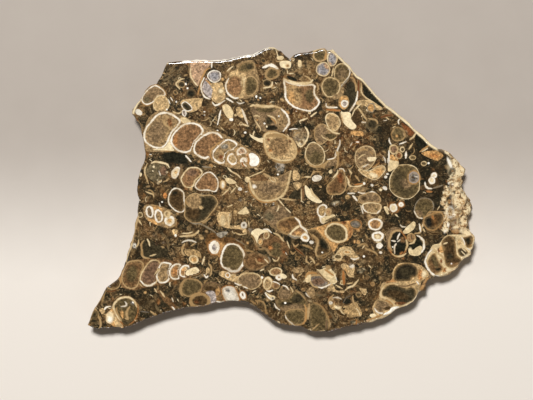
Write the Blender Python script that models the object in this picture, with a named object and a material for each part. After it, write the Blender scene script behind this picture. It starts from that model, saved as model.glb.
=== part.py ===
"""A polished slab of turritella agate: a slice of rock packed with fossil snail shells, lying on its sawn back.

The front is sawn and polished flat. The rim is the outside of the rock: a thin crust along most of it, and a
thick, knobbly weathered crust that slopes away on the right. Metres, +Z up, +X to the right and +Y to the top of
the polished face as it is looked down on. The origin is the middle of the underside's bounding box.
"""

import math

import bmesh
import bpy
from mathutils import Vector, noise

MM = 0.001

# Driving dimensions
THICKNESS = 6.0 * MM
BACK_CHAMFER = 0.45 * MM
CRUST_DROP = 0.2 * MM  # how far below the polish the crust's shoulder sits where the crust has no width
CRUST_SLOPE = 0.52  # more drop for each unit of the crust's width
STEP_PLAIN = 1.25 * MM  # longest stretch between two points of the rim
STEP_CRUST = 0.9 * MM  # the same along the thick crust
THICK_CRUST = 1.5 * MM  # crust wider than this is knobbly

# The rim of the stone in millimetres, clockwise from its lower left point: across, up, and the crust's width
# between the silhouette and the edge of the polish.
LEFT_RIM = [
    (-45.0, -31.4, 0.3), (-43.9, -28.3, 0.4), (-41.9, -25.1, 0.4), (-40.6, -22.6, 0.4), (-39.2, -21.5, 0.4),
    (-38.1, -20.7, 0.5), (-37.3, -19.6, 0.7), (-36.7, -17.7, 0.8), (-36.0, -15.9, 0.9), (-35.4, -13.9, 0.9),
    (-34.6, -11.5, 0.9), (-34.3, -9.7, 0.8), (-33.9, -7.7, 0.8), (-33.3, -5.7, 0.6), (-33.2, -3.8, 0.4),
    (-33.0, -2.1, 0.4), (-33.3, 0.0, 0.4), (-33.2, 1.7, 0.4), (-32.9, 3.3, 0.4), (-32.6, 4.9, 0.5),
    (-31.8, 6.5, 0.5), (-31.4, 7.6, 0.4), (-31.3, 8.7, 0.4), (-31.7, 10.5, 0.3), (-32.0, 12.6, 0.3),
    (-32.6, 15.2, 0.3), (-33.6, 16.6, 0.4), (-34.4, 17.9, 0.4), (-34.2, 18.9, 0.3), (-33.3, 20.2, 0.3),
    (-32.6, 21.0, 0.3), (-31.4, 23.2, 0.5), (-30.2, 24.3, 0.5), (-28.7, 24.8, 0.3), (-28.0, 26.0, 0.3),
    (-27.3, 27.3, 0.3), (-26.8, 28.6, 0.3),
]
TOP_RIM = [
    (-26.3, 29.7, 0.3), (-25.0, 29.9, 0.3), (-23.0, 30.0, 0.4), (-21.5, 30.2, 0.5), (-19.4, 30.3, 0.5),
    (-16.5, 30.2, 0.5), (-13.8, 30.3, 0.5), (-12.1, 30.6, 0.5), (-10.3, 31.0, 0.5), (-8.8, 31.3, 0.4),
    (-6.5, 31.5, 0.4), (-5.1, 32.3, 0.5), (-3.8, 33.0, 0.5), (-2.6, 33.1, 0.3), (-1.5, 33.1, 0.4),
    (0.1, 32.3, 0.5), (1.2, 31.3, 0.4), (2.1, 30.6, 0.3), (2.9, 31.5, 0.3), (4.4, 31.9, 0.3),
    (7.1, 32.3, 0.4), (8.8, 32.9, 0.6), (10.2, 33.1, 0.6), (10.9, 32.6, 0.5), (12.1, 32.8, 0.7),
]
RIGHT_RIM = [
    (12.7, 32.0, 0.6), (13.6, 31.0, 0.6), (14.7, 30.0, 0.8), (16.1, 28.7, 0.9), (17.0, 27.6, 0.8),
    (17.7, 26.6, 0.6), (18.9, 25.9, 0.6), (20.2, 24.5, 0.6), (21.5, 22.9, 0.6), (23.3, 21.0, 0.6),
    (24.5, 19.8, 0.7), (26.1, 18.8, 0.8), (28.0, 17.2, 0.7), (29.8, 15.7, 0.7), (31.6, 13.9, 0.7),
    (33.3, 12.4, 0.7), (34.8, 10.9, 0.7), (36.6, 9.9, 0.6), (38.0, 9.5, 0.5), (39.5, 8.6, 0.8),
    (40.7, 7.4, 1.3), (41.9, 6.2, 2.0), (42.5, 4.9, 2.2), (42.5, 3.7, 2.0), (42.0, 2.3, 2.2),
    (41.7, 1.1, 3.2), (42.3, 0.0, 4.0), (43.7, -1.2, 5.0), (44.4, -2.4, 6.0), (44.7, -3.8, 6.4),
    (44.5, -5.3, 6.2), (44.2, -6.8, 6.0), (43.9, -8.5, 4.8), (44.5, -9.6, 2.8), (45.1, -10.2, 1.2),
    (45.1, -11.5, 0.5), (44.8, -13.3, 0.6), (44.2, -14.7, 0.8), (42.8, -15.9, 0.8), (41.9, -17.4, 1.0),
    (40.7, -18.6, 1.0), (39.2, -19.6, 0.9), (37.5, -20.1, 0.6), (35.8, -19.9, 0.5), (34.8, -20.3, 1.0),
    (33.9, -21.8, 1.8), (33.3, -22.9, 1.6), (32.3, -23.6, 0.8), (31.7, -24.8, 0.4), (31.0, -26.0, 0.4),
]
BOTTOM_RIM = [
    (29.5, -26.8, 0.4), (28.0, -27.3, 0.4), (26.8, -28.0, 0.8), (25.7, -29.0, 0.8), (23.6, -29.9, 0.8),
    (21.2, -30.7, 0.7), (19.2, -31.1, 0.6), (17.4, -31.6, 0.6), (15.3, -31.9, 0.5), (13.0, -32.4, 0.4),
    (11.2, -33.0, 0.3), (7.7, -33.0, 0.3), (5.9, -32.3, 0.3), (4.7, -31.7, 0.3), (2.6, -31.6, 0.3),
    (0.0, -31.2, 0.3), (-1.7, -30.4, 0.3), (-3.5, -29.0, 0.3), (-5.0, -27.7, 0.3), (-6.8, -26.5, 0.3),
    (-8.5, -25.9, 0.3), (-10.0, -25.6, 0.3), (-12.1, -25.7, 0.3), (-13.3, -26.0, 0.4), (-15.0, -26.2, 0.4),
    (-16.5, -26.7, 0.4), (-18.3, -27.0, 0.3), (-21.8, -27.3, 0.3), (-24.8, -27.9, 0.4), (-26.5, -28.5, 0.3),
    (-28.6, -29.0, 0.3), (-31.8, -30.2, 0.3), (-33.3, -31.0, 0.3), (-35.1, -31.7, 0.3), (-36.9, -32.1, 0.3),
    (-38.6, -31.8, 0.3), (-40.1, -32.1, 0.3), (-42.8, -32.3, 0.3),
]

# Surface relief
RIM_ROUGHNESS = 0.10 * MM  # how far the broken rim wanders from its straight stretches
WALL_HOLLOW = 0.9 * MM  # the most that the side walls lean in below the silhouette
KNOB_HEIGHT = 1.5 * MM  # knobs on the thick crust
KNOB_SPACING = 2.0 * MM
STEP_KNOBS = 0.75 * MM  # edges of the thick crust longer than this are halved
CRUST_FADE = 0.5 * MM  # the knobs grow from nothing over this depth below the polish
GRAIN_HEIGHT = 0.16 * MM  # rough grain on all of the rim
THIN_CRUST_ROUGHNESS = 0.22  # share of the knobs that the rest of the rim has
THICK_CRUST_AREAS = [(41.5, -4.5, 8.0), (42.0, 3.5, 4.5), (34.2, -22.0, 4.0), (42.5, -16.5, 3.5)]  # x, y, radius


def clear_scene():
    for obj in list(bpy.data.objects):
        bpy.data.objects.remove(obj)


def rim_stations():
    """The rim's points, counter-clockwise, each as its place and its crust width, with long stretches divided."""
    listed = LEFT_RIM + TOP_RIM + RIGHT_RIM + BOTTOM_RIM
    corners = [(Vector((x, y, 0.0)) * MM, crust * MM) for x, y, crust in reversed(listed)]
    stations = []
    for index, (start, start_crust) in enumerate(corners):
        end, end_crust = corners[(index + 1) % len(corners)]
        longest = STEP_CRUST if max(start_crust, end_crust) > THICK_CRUST else STEP_PLAIN
        pieces = max(1, math.ceil((end - start).length / longest))
        for piece in range(pieces):
            share = piece / pieces
            place = start.lerp(end, share)
            wander = noise.noise(place / (1.3 * MM)) * RIM_ROUGHNESS
            along = (end - start).normalized()
            inward = Vector((-along.y, along.x, 0.0))
            stations.append((place + inward * abs(wander), start_crust + (end_crust - start_crust) * share))
    return stations


def inward_directions(places):
    """For each point of a counter-clockwise rim, the direction square to it that points into the stone."""
    count = len(places)
    directions = []
    for index in range(count):
        along = places[(index + 2) % count] - places[index - 2]
        directions.append(Vector((-along.y, along.x, 0.0)).normalized())
    return directions


def smoothed(values, passes):
    """Values round a closed loop, averaged with their neighbours."""
    for _ in range(passes):
        values = [
            (values[index - 1] + values[index] * 2 + values[(index + 1) % len(values)]) / 4
            for index in range(len(values))
        ]
    return values


def crust_point(place, inward, crust, turn):
    """A point of the crust's rounded shoulder: turn is 0 at the edge of the polish and 1 at the silhouette."""
    angle = turn * math.pi / 2
    drop = CRUST_DROP + crust * CRUST_SLOPE
    made = place + inward * crust * (1 - math.sin(angle))
    made.z = THICKNESS - drop * (1 - math.cos(angle))
    return made


def wall_point(place, inward, crust, depth):
    """A point of the side wall: depth is 0 at the crust's shoulder and 1 at the underside."""
    top = THICKNESS - CRUST_DROP - crust * CRUST_SLOPE
    height = top * (1 - depth)
    spot = Vector((place.x, place.y, height))
    hollow = 0.5 + 0.5 * noise.noise(spot / (6.5 * MM))
    grain = noise.noise(spot / (1.4 * MM)) * GRAIN_HEIGHT
    lean = WALL_HOLLOW * hollow * math.sin(depth * math.pi / 2) + abs(grain)
    made = place + inward * lean
    made.z = height
    return made


def ring_places():
    """The rings of the stone from the edge of the polish down to the underside."""
    stations = rim_stations()
    places = [place for place, _ in stations]
    crusts = smoothed([crust for _, crust in stations], 1)
    inwards = inward_directions(places)
    around = list(zip(places, inwards, crusts))
    rings = [
        [crust_point(place, inward, crust, turn) for place, inward, crust in around]
        for turn in (0.0, 0.25, 0.5, 0.75, 1.0)
    ]
    rings += [
        [wall_point(place, inward, crust, depth) for place, inward, crust in around]
        for depth in (0.3, 0.62, 0.9)
    ]
    underside = []
    for place, inward, crust in around:
        last = wall_point(place, inward, crust, 1.0)
        underside.append(Vector((last.x, last.y, 0.0)) + inward * BACK_CHAMFER)
    return [*rings, underside]


def crust_weight(place):
    """How knobbly the stone is at a place: 1 on the thick crust, little on the rim, 0 on the sawn faces."""
    below_polish = min(1.0, max(0.0, (THICKNESS - place.z) / CRUST_FADE))
    above_underside = min(1.0, place.z / CRUST_FADE)
    nearness = THIN_CRUST_ROUGHNESS
    for x, y, radius in THICK_CRUST_AREAS:
        distance = math.hypot(place.x / MM - x, place.y / MM - y)
        nearness = max(nearness, min(1.0, max(0.0, (radius - distance) / 2.0)))
    return below_polish * above_underside * nearness


def lump(place):
    """Rounded knobs with sharp creases between them, large ones carrying small ones."""
    large = noise.voronoi(place / KNOB_SPACING)[0][0]
    small = noise.voronoi(place / (KNOB_SPACING * 0.45))[0][0]
    return (0.5 - large) + 0.4 * (0.5 - small)


def roughen_crust(shape):
    """Knobs and pits on the thick crust, and a fine grain on all of the rim."""
    for _ in range(2):
        knobbly = {vert for vert in shape.verts if crust_weight(vert.co) > THIN_CRUST_ROUGHNESS}
        long_edges = [
            edge
            for edge in shape.edges
            if edge.calc_length() > STEP_KNOBS and edge.verts[0] in knobbly and edge.verts[1] in knobbly
        ]
        bmesh.ops.subdivide_edges(shape, edges=long_edges, cuts=1, use_grid_fill=True)
        bmesh.ops.triangulate(shape, faces=[face for face in shape.faces if 4 < len(face.verts) < 12])
    shape.normal_update()
    moves = []
    for vert in shape.verts:
        if BACK_CHAMFER < vert.co.z < THICKNESS - 0.02 * MM:
            grain = noise.noise(vert.co / (0.9 * MM)) * GRAIN_HEIGHT
            moves.append((vert, vert.normal * (grain + lump(vert.co) * KNOB_HEIGHT * crust_weight(vert.co))))
    for vert, move in moves:
        vert.co += move
        vert.co.z = min(vert.co.z, THICKNESS - 0.05 * MM)


def build_stone_mesh():
    """Rings of faces run from the polish over the crust and down the walls, closed by one face above and below."""
    shape = bmesh.new()
    rings = [[shape.verts.new(place) for place in ring] for ring in ring_places()]
    count = len(rings[0])
    for upper, lower in zip(rings, rings[1:]):
        for index in range(count):
            after = (index + 1) % count
            shape.faces.new((upper[index], lower[index], lower[after], upper[after]))
    shape.faces.new(rings[0])
    shape.faces.new(reversed(rings[-1]))
    roughen_crust(shape)
    centre_on_underside(shape)
    mesh = bpy.data.meshes.new("agate_slab")
    shape.to_mesh(mesh)
    shape.free()
    return mesh


def centre_on_underside(shape):
    """Moves the stone so that the middle of its bounding box's underside is the origin."""
    across = [vert.co.x for vert in shape.verts]
    along = [vert.co.y for vert in shape.verts]
    middle = Vector((min(across) + max(across), min(along) + max(along), 0.0)) / 2
    for vert in shape.verts:
        vert.co -= middle


def stone_material():
    material = bpy.data.materials.new("silicified_shell_rock")
    material.use_nodes = True
    shader = material.node_tree.nodes["Principled BSDF"]
    shader.inputs["Base Color"].default_value = (0.16, 0.125, 0.085, 1.0)
    shader.inputs["Roughness"].default_value = 0.28
    shader.inputs["Metallic"].default_value = 0.0
    return material


def main():
    clear_scene()
    mesh = build_stone_mesh()
    stone = bpy.data.objects.new("agate_slab", mesh)
    bpy.context.scene.collection.objects.link(stone)
    mesh.materials.append(stone_material())
    mesh.shade_smooth()
    mesh.set_sharp_from_angle(angle=math.radians(30))


main()
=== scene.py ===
import math

import bmesh
import bpy
import numpy as np
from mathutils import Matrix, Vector


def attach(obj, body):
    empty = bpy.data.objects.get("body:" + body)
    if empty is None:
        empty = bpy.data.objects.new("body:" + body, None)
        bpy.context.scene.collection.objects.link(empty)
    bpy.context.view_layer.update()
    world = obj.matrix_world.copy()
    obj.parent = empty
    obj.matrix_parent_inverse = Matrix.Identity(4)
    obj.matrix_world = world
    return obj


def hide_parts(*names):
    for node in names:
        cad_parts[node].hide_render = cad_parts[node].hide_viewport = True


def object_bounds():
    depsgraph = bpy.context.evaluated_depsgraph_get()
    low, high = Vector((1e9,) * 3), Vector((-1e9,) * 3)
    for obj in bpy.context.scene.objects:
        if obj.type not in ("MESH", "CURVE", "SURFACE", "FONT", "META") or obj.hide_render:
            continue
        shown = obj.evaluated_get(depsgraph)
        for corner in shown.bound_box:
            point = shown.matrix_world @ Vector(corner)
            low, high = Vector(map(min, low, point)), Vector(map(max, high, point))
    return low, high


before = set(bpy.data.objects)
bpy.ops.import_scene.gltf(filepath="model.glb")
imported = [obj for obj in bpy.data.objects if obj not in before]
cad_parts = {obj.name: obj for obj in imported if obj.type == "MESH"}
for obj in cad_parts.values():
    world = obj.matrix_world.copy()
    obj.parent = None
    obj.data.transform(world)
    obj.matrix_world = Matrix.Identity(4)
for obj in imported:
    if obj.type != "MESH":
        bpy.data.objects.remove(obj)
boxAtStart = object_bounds()
mm = 0.001

# How finely the slab is cut up to carry its markings, and where its finishes change.
# Lengths in millimetres, angles in degrees. Pairs are where something begins, and how soon it is full.
slab = {
    "frontCell": 0.275,
    "rimCell": 0.7,
    "backCell": 0.8,
    "tinyEdge": 0.03,  # edges shorter than this are closed up
    "flatAngle": 0.2,  # faces that bend less than this are joined before they are cut
    "upright": (0.3, -0.9),  # rise of a face's normal above which it is front, and below which it is back
    "backHeight": 0.2,  # the back's faces lie lower than this
    "leans": (0.2, 0.1, -0.1),  # least rise of a normal under the drawn shells, the painted shade of the rim's lower part and the bands
    "polishDepth": 0.06,  # what is nearer to the top than this is polished
    "crustDepth": (0.2, 0.5),
    "crustHeight": (0.2, 0.6),  # above the sawn back
    # below this depth under the polished face the rim gets painted shade
    "lowerRimShadeDepth": (1.2, 1.5),
    "knobbly": (34, 4),  # how far right the knobbly end begins
    "knobCrust": (0.14, 0.3),  # how much less the crust's depth is there
    "bandDepth": 4.5,  # how far down the rim the pale bands and spots reach
    "bandEdge": 0.12,  # half the width over which a band ends
    "spotEdge": (1.2, 0.4),  # as shares of a spot's half width
    "plainGround": ("moss", 0.5),  # colour of the rock, and how much fine hash it holds
    "seed": 11,
    "layers": 11,  # most layers of marks over each other
    "sharpAngle": 40,
}

# Colours of the stone and its shells, as read off on screen
colours = {
    "white": (250, 243, 228), "cream": (238, 219, 180), "ivory": (222, 199, 156), "tan": (195, 166, 122),
    "sand": (176, 147, 104), "honey": (194, 152, 100), "orange": (184, 128, 76), "rust": (126, 82, 50),
    "pink": (184, 152, 122), "mauve": (124, 98, 76), "taupe": (136, 113, 84), "brown": (120, 92, 62),
    "umber": (84, 66, 43), "bark": (51, 45, 33), "olive": (103, 88, 60), "moss": (68, 60, 43),
    "night": (44, 42, 31), "ink": (44, 42, 35), "sage": (114, 101, 76), "grey": (152, 142, 125),
    "steel": (120, 114, 106), "blue": (148, 143, 142), "lilac": (172, 160, 152), "milk": (224, 215, 198),
    "chestnut": (144, 111, 78), "clay": (156, 130, 94), "loam": (108, 80, 49),
    # the floor's painted shade and painted light
    "paintedFloorShade": (173, 163, 153), "paintedFloorLight": (232, 224, 214),
}


def linearColour(name):
    red, green, blue = (channel / 255 for channel in colours[name])
    return [c / 12.92 if c <= 0.04045 else ((c + 0.055) / 1.055) ** 2.4 for c in (red, green, blue)]


def planesBetween(low, high, spacing):
    count = max(2, round((high - low) / spacing))
    return [low + (high - low) * step / count for step in range(1, count)]


def sliceFaces(mesh, faces, axis, places):  # by halves, so that each cut meets few faces
    if not places or not faces:
        return
    middle = len(places) // 2
    edges = {edge for face in faces for edge in face.edges}
    verts = {vert for face in faces for vert in face.verts}
    point = Vector((0, 0, 0))
    point[axis] = places[middle]
    normal = Vector((0, 0, 0))
    normal[axis] = 1.0
    cut = bmesh.ops.bisect_plane(mesh, geom=[*faces, *edges, *verts], dist=1e-7, plane_co=point,
                                 plane_no=normal)
    parts = [item for item in cut["geom"] if isinstance(item, bmesh.types.BMFace)]
    low = [face for face in parts if face.calc_center_median()[axis] < places[middle]]
    high = [face for face in parts if face.calc_center_median()[axis] >= places[middle]]
    sliceFaces(mesh, low, axis, places[:middle])
    sliceFaces(mesh, high, axis, places[middle + 1:])


def sliceArea(mesh, chosen, spacing, axes):
    for axis in axes:
        faces = [face for face in mesh.faces if chosen(face)]
        coords = [vert.co[axis] for face in faces for vert in face.verts]
        sliceFaces(mesh, faces, axis, planesBetween(min(coords), max(coords), spacing * mm))


def facesUp(face):
    return face.normal.z > slab["upright"][0]


def facesDown(face):
    return face.normal.z < slab["upright"][1] and face.calc_center_median().z < slab["backHeight"] * mm


def facesSideways(face):
    return not facesUp(face) and not facesDown(face)


def makeSlabMesh():
    mesh = bmesh.new()
    mesh.from_mesh(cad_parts["agate_slab"].data)
    bmesh.ops.remove_doubles(mesh, verts=mesh.verts, dist=1e-6)
    flatAngle = math.radians(slab["flatAngle"])
    bmesh.ops.dissolve_limit(mesh, angle_limit=flatAngle, verts=mesh.verts, edges=mesh.edges)
    mesh.normal_update()
    sliceArea(mesh, facesDown, slab["backCell"], (0, 1))
    sliceArea(mesh, facesSideways, slab["rimCell"], (0, 1, 2))
    sliceArea(mesh, facesUp, slab["frontCell"], (0, 1))
    bmesh.ops.dissolve_degenerate(mesh, dist=slab["tinyEdge"] * mm, edges=mesh.edges)
    bmesh.ops.triangulate(mesh, faces=[face for face in mesh.faces if len(face.verts) > 4])
    return mesh


# How the markings of the stone are laid on its points. Lengths in millimetres.
markings = {
    "shift": (-0.1, -0.05),  # from the middle of the drawn outline to the middle of the slab's box
    "softest": 0.2,  # wall-less marks at least this soft only tint what is under them
    "spare": 0.3,  # how far past a mark its measures go on
    "thin": 0.33,  # walls thinner than this are drawn thinner still
    "thinWall": 0.8,  # the share of their thickness that they keep
    "tip": (0.55, 3, 1.6),  # a line's share of its width at its ends, over how many widths, and how blunt
    "fade": 1.6,  # depth below the polish at which the drawn shells have run out
    "lean": 0.5,  # how fast their outlines draw in with depth
    "solid": (0.8, 0.4),  # marks at least this strong and this sharp keep the small broken shells away
    "nothing": (3.0, -3.0, 0.0),  # distance, wall and stain widths where a layer holds no mark
}

marks = []


def addMark(path, closed, width, filling=None, wall=None, stain=None, reach=0.0, soft=0.08, strength=1.0):
    if closed and width < markings["thin"]:
        width *= markings["thinWall"]
    marks.append({"path": np.array(path, float), "closed": closed, "width": width, "filling": filling,
                  "wall": wall, "stain": stain, "reach": reach, "soft": soft, "strength": strength})


def smoothPath(points, closed, steps=4):  # a curve through the points
    here = np.array(points, float)
    if len(here) < 3:
        return here
    if closed:
        before, after, beyond = (np.roll(here, turn, axis=0) for turn in (1, -1, -2))
        last = []
    else:
        padded = np.vstack([2 * here[0] - here[1], here, 2 * here[-1] - here[-2]])
        before, here, after, beyond = padded[:-3], padded[1:-2], padded[2:-1], padded[3:]
        last = [padded[-2]]
    pieces = []
    for step in range(steps):
        t = step / steps
        pieces.append(0.5 * (2 * here + (after - before) * t
                             + (2 * before - 5 * here + 4 * after - beyond) * t ** 2
                             + (3 * here - before - 3 * after + beyond) * t ** 3))
    curve = np.stack(pieces, axis=1).reshape(-1, 2)
    return np.vstack([curve, *last])


def ovalPath(x, y, across, up, turn=0.0, sides=28):  # an oval, a little uneven
    angle = np.arange(sides) * 2 * math.pi / sides
    swell = 1 + 0.03 * np.sin(3 * angle + 1.7 * x) + 0.02 * np.sin(5 * angle + 2.3 * y)
    flat = np.stack([across * swell * np.cos(angle), up * swell * np.sin(angle)], axis=1)
    c, s = math.cos(math.radians(turn)), math.sin(math.radians(turn))
    return flat @ np.array([[c, s], [-s, c]]) + (x, y)


def tenths(numbers):  # points from x, y, x, y in tenths of a millimetre
    return np.reshape(numbers, (-1, 2)) / 10


# Marks are placed in tenths of a millimetre; their sizes and widths are in millimetres
def cell(filling, outline, wall="white", thick=0.25, **more):  # a chamber with a wall
    addMark(smoothPath(tenths(outline), True), True, thick, filling, wall, **more)


def oval(filling, x, y, across, up, turn=0.0, wall="white", thick=0.25, **more):
    addMark(ovalPath(x / 10, y / 10, across, up, turn), True, thick, filling, wall, **more)


def blob(filling, outline, soft=0.12, **more):  # a patch with no wall
    addMark(smoothPath(tenths(outline), True), True, 0.0, filling, soft=soft, **more)


def spot(filling, x, y, across, up=None, turn=0.0, soft=0.25, **more):
    addMark(ovalPath(x / 10, y / 10, across, up or across, turn, 18), True, 0.0, filling, soft=soft, **more)


def line(colour, width, *places, **more):  # a shell seen edge on
    addMark(smoothPath(tenths(places), False), False, width, wall=colour, **more)


def measureMark(mark, places):  # signed distance to the mark's path, and the width of its wall there
    path = mark["path"]
    starts = path if mark["closed"] else path[:-1]
    runs = (np.roll(path, -1, axis=0) if mark["closed"] else path[1:]) - starts
    lengths = np.hypot(runs[:, 0], runs[:, 1]) + 1e-9
    offsets = places[:, None, :] - starts[None]
    share = (offsets * runs).sum(2) / lengths ** 2
    held = np.clip(share, 0, 1)
    gaps = offsets - held[..., None] * runs
    away = np.hypot(gaps[..., 0], gaps[..., 1])
    nearest = away.argmin(1)
    rows = np.arange(len(places))
    reached = away[rows, nearest]
    if mark["closed"]:
        rises = (starts[:, 1] > places[:, 1:]) != (starts[:, 1] + runs[:, 1] > places[:, 1:])
        slope = np.where(np.abs(runs[:, 1]) < 1e-9, 1e-9, runs[:, 1])
        crossing = starts[:, 0] + runs[:, 0] * (places[:, 1:] - starts[:, 1]) / slope
        inside = (rises & (places[:, :1] < crossing)).sum(1) % 2 == 1
        return np.where(inside, -reached, reached), np.full(len(places), mark["width"]), reached * ~inside
    side = runs[nearest, 0] * offsets[rows, nearest, 1] - runs[nearest, 1] * offsets[rows, nearest, 0]
    lateral = side / lengths[nearest]
    past = np.where((nearest == 0) & (share[rows, 0] < 0), -share[rows, 0] * lengths[0], 0)
    end = len(runs) - 1
    past = np.where((nearest == end) & (share[rows, end] > 1), (share[rows, end] - 1) * lengths[end], past)
    along = np.concatenate([[0], np.cumsum(lengths)])[nearest] + held[rows, nearest] * lengths[nearest]
    fromEnd = np.minimum(along, lengths.sum() - along)
    thinnest, tipWidths, blunt = markings["tip"]
    taper = thinnest + (1 - thinnest) * np.clip(fromEnd / (tipWidths * mark["width"]), 0, 1)
    distance = np.where(past > 0, lateral, np.where(side < 0, -reached, reached))
    return distance, mark["width"] * taper - blunt * past, reached


def eased(share):  # a soft step, for shares from 0 to 1
    share = np.clip(share, 0, 1)
    return share * share * (3 - 2 * share)


def rampUp(values, begins, span):  # 0 up to where it begins, and 1 a span further
    return np.clip((values - begins) / span, 0, 1)


class Layers:  # what every point of the stone shows, layer by layer
    def __init__(self, count, total, ground):
        self.ground = ground
        self.filled = np.full(total, -1)  # the layer whose filling shows
        self.shape = np.tile(np.array(markings["nothing"], np.float32), (count, total, 1))
        parts = ("filling", "wall", "stain")
        self.looks = {part: np.zeros((count, total, 4), np.float32) for part in parts}
        self.used = np.zeros((count, total), bool)
        self.painted = np.zeros((count, total), bool)
        self.count = count
        self.clashes = 0

    def tint(self, mark, rows, distance):  # a soft spot colours the filling or the rock that it lies on
        share = (eased(0.5 - distance / mark["soft"]) * mark["strength"])[:, None]
        for level in range(-1, self.count):
            here = self.filled[rows] == level
            target = self.ground if level < 0 else self.looks["filling"][level]
            old = target[rows[here], :3]
            target[rows[here], :3] = old + share[here] * (np.array(linearColour(mark["filling"])) - old)

    def add(self, mark, rows, distance, width, reached, highest=None):  # on the lowest layer free there
        half = np.maximum(width, 0) / 2
        edge = half + mark["reach"] + mark["soft"] / 2
        touched = reached < np.maximum(edge, mark["width"] / 2) + markings["spare"]
        rows, distance, width, reached = rows[touched], distance[touched], width[touched], reached[touched]
        covered = (reached < edge[touched]) & ((width > 0) | (distance < mark["soft"] / 2))
        if not len(rows):
            return False
        lowest = 0
        for level in range(self.count):
            if self.painted[level][rows[covered]].any():
                lowest = level + 1
        free = [level for level in range(lowest, self.count) if not self.used[level][rows].any()]
        if not free or (highest is not None and free[0] > highest):
            if highest is not None:
                return False
            self.clashes += 1
            free = [self.count - 1]
        level = free[0]
        self.used[level][rows] = True
        self.painted[level][rows[covered]] = True
        if mark["filling"]:
            self.filled[rows[(distance < 0) & mark["closed"]]] = level
        reach = np.full(len(rows), mark["reach"])
        self.shape[level][rows] = np.stack([distance, np.maximum(width, markings["nothing"][1]), reach], 1)
        looks = {"filling": mark["strength"], "wall": mark["soft"], "stain": finish["stain"]}
        for part, last in looks.items():
            if mark[part]:
                self.looks[part][level][rows] = [*linearColour(mark[part]), last]
            elif part == "wall":
                self.looks[part][level][rows] = [0, 0, 0, last]
        return True


# Small broken shells strewn between the drawn ones: places in tenths of a millimetre, sizes in millimetres
hashLooks = {
    "tries": 3000,
    "upTo": (0.38, 0.62, 0.72),  # below these draws it is an arc, a chip or a ring, and above them a stain
    "shell": ["tan", "sand", "clay", "taupe", "brown", "taupe", "sand", "cream"],
    "ring": ["umber", "brown", "olive", "sand", "honey", "moss"],
    "stain": ["rust", "umber", "honey", "sand", "night", "brown", "orange"],
    "arcRadius": (3, 11),
    "arcSweep": (0.7, 2.2),
    "arcWidth": (0.12, 0.22),
    "chipHalf": (1.5, 5.5),
    "chipWidth": (0.18, 0.4),
    "ringSize": (0.25, 0.6),
    "ringFlat": (0.6, 1),
    "ringWall": (0.12, 0.2),
    "stainAcross": (0.3, 0.9),
    "stainUp": (0.25, 0.6),
    "stainSoft": 0.35,
    "stainStrength": (0.5, 0.9),
    "scatter": 0.1,
    "sparse": 0.04,  # share of the tries that hold on glassy rock
    "highest": 1,  # the highest layer that they may use
}

# Shells cut by the back and the rim, in millimetres
deepLooks = {
    "tries": 900,
    "scatter": 0.7,
    "small": (0.6, 1.3),
    "large": (1.3, 3.2),
    "up": (0.55, 0.9),
    "deep": (0.8, 2.0),
    "wall": (0.3, 0.5),
    "stainReach": 0.5,
    "shares": (0.7, 0.3),  # of small and large ones, and of those without and with a stain
    "soft": 0.1,
    "filling": ["umber", "brown", "olive", "taupe", "moss", "chestnut", "mauve", "honey", "bark"],
    "shell": ["white", "cream", "ivory", "tan", "cream"],
    "stain": ["honey", "rust", "orange"],
    "spare": (1.2, 0.4),  # how far round a shell points are looked at, and how far past its wall it is laid
    "highest": 3,
}


def pick(random, names):
    return names[int(random.integers(len(names)))]


def between(random, looks, name):
    return random.uniform(*looks[name])


def hashMark(random, x, y):  # one small broken shell
    turn = random.uniform(0, 2 * math.pi)
    kind = random.random()
    shell = pick(random, hashLooks["shell"])
    arcs, chips, rings = hashLooks["upTo"]
    if kind < arcs:
        radius, sweep = between(random, hashLooks, "arcRadius"), between(random, hashLooks, "arcSweep")
        angles = turn + sweep * (np.arange(5) / 4 - 0.5)
        path = np.stack([x + radius * (np.cos(angles) - math.cos(turn)),
                         y + radius * (np.sin(angles) - math.sin(turn))])
        line(shell, between(random, hashLooks, "arcWidth"), *path.T.ravel())
    elif kind < chips:
        half = between(random, hashLooks, "chipHalf")
        c, s = half * math.cos(turn), half * math.sin(turn)
        line(shell, between(random, hashLooks, "chipWidth"), x - c, y - s, x + c, y + s)
    elif kind < rings:
        size = between(random, hashLooks, "ringSize")
        oval(pick(random, hashLooks["ring"]), x, y, size, size * between(random, hashLooks, "ringFlat"),
             math.degrees(turn), wall=shell, thick=between(random, hashLooks, "ringWall"))
    else:
        spot(pick(random, hashLooks["stain"]), x, y, between(random, hashLooks, "stainAcross"),
             between(random, hashLooks, "stainUp"), math.degrees(turn), soft=hashLooks["stainSoft"],
             strength=between(random, hashLooks, "stainStrength"))
    return marks.pop()


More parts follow.
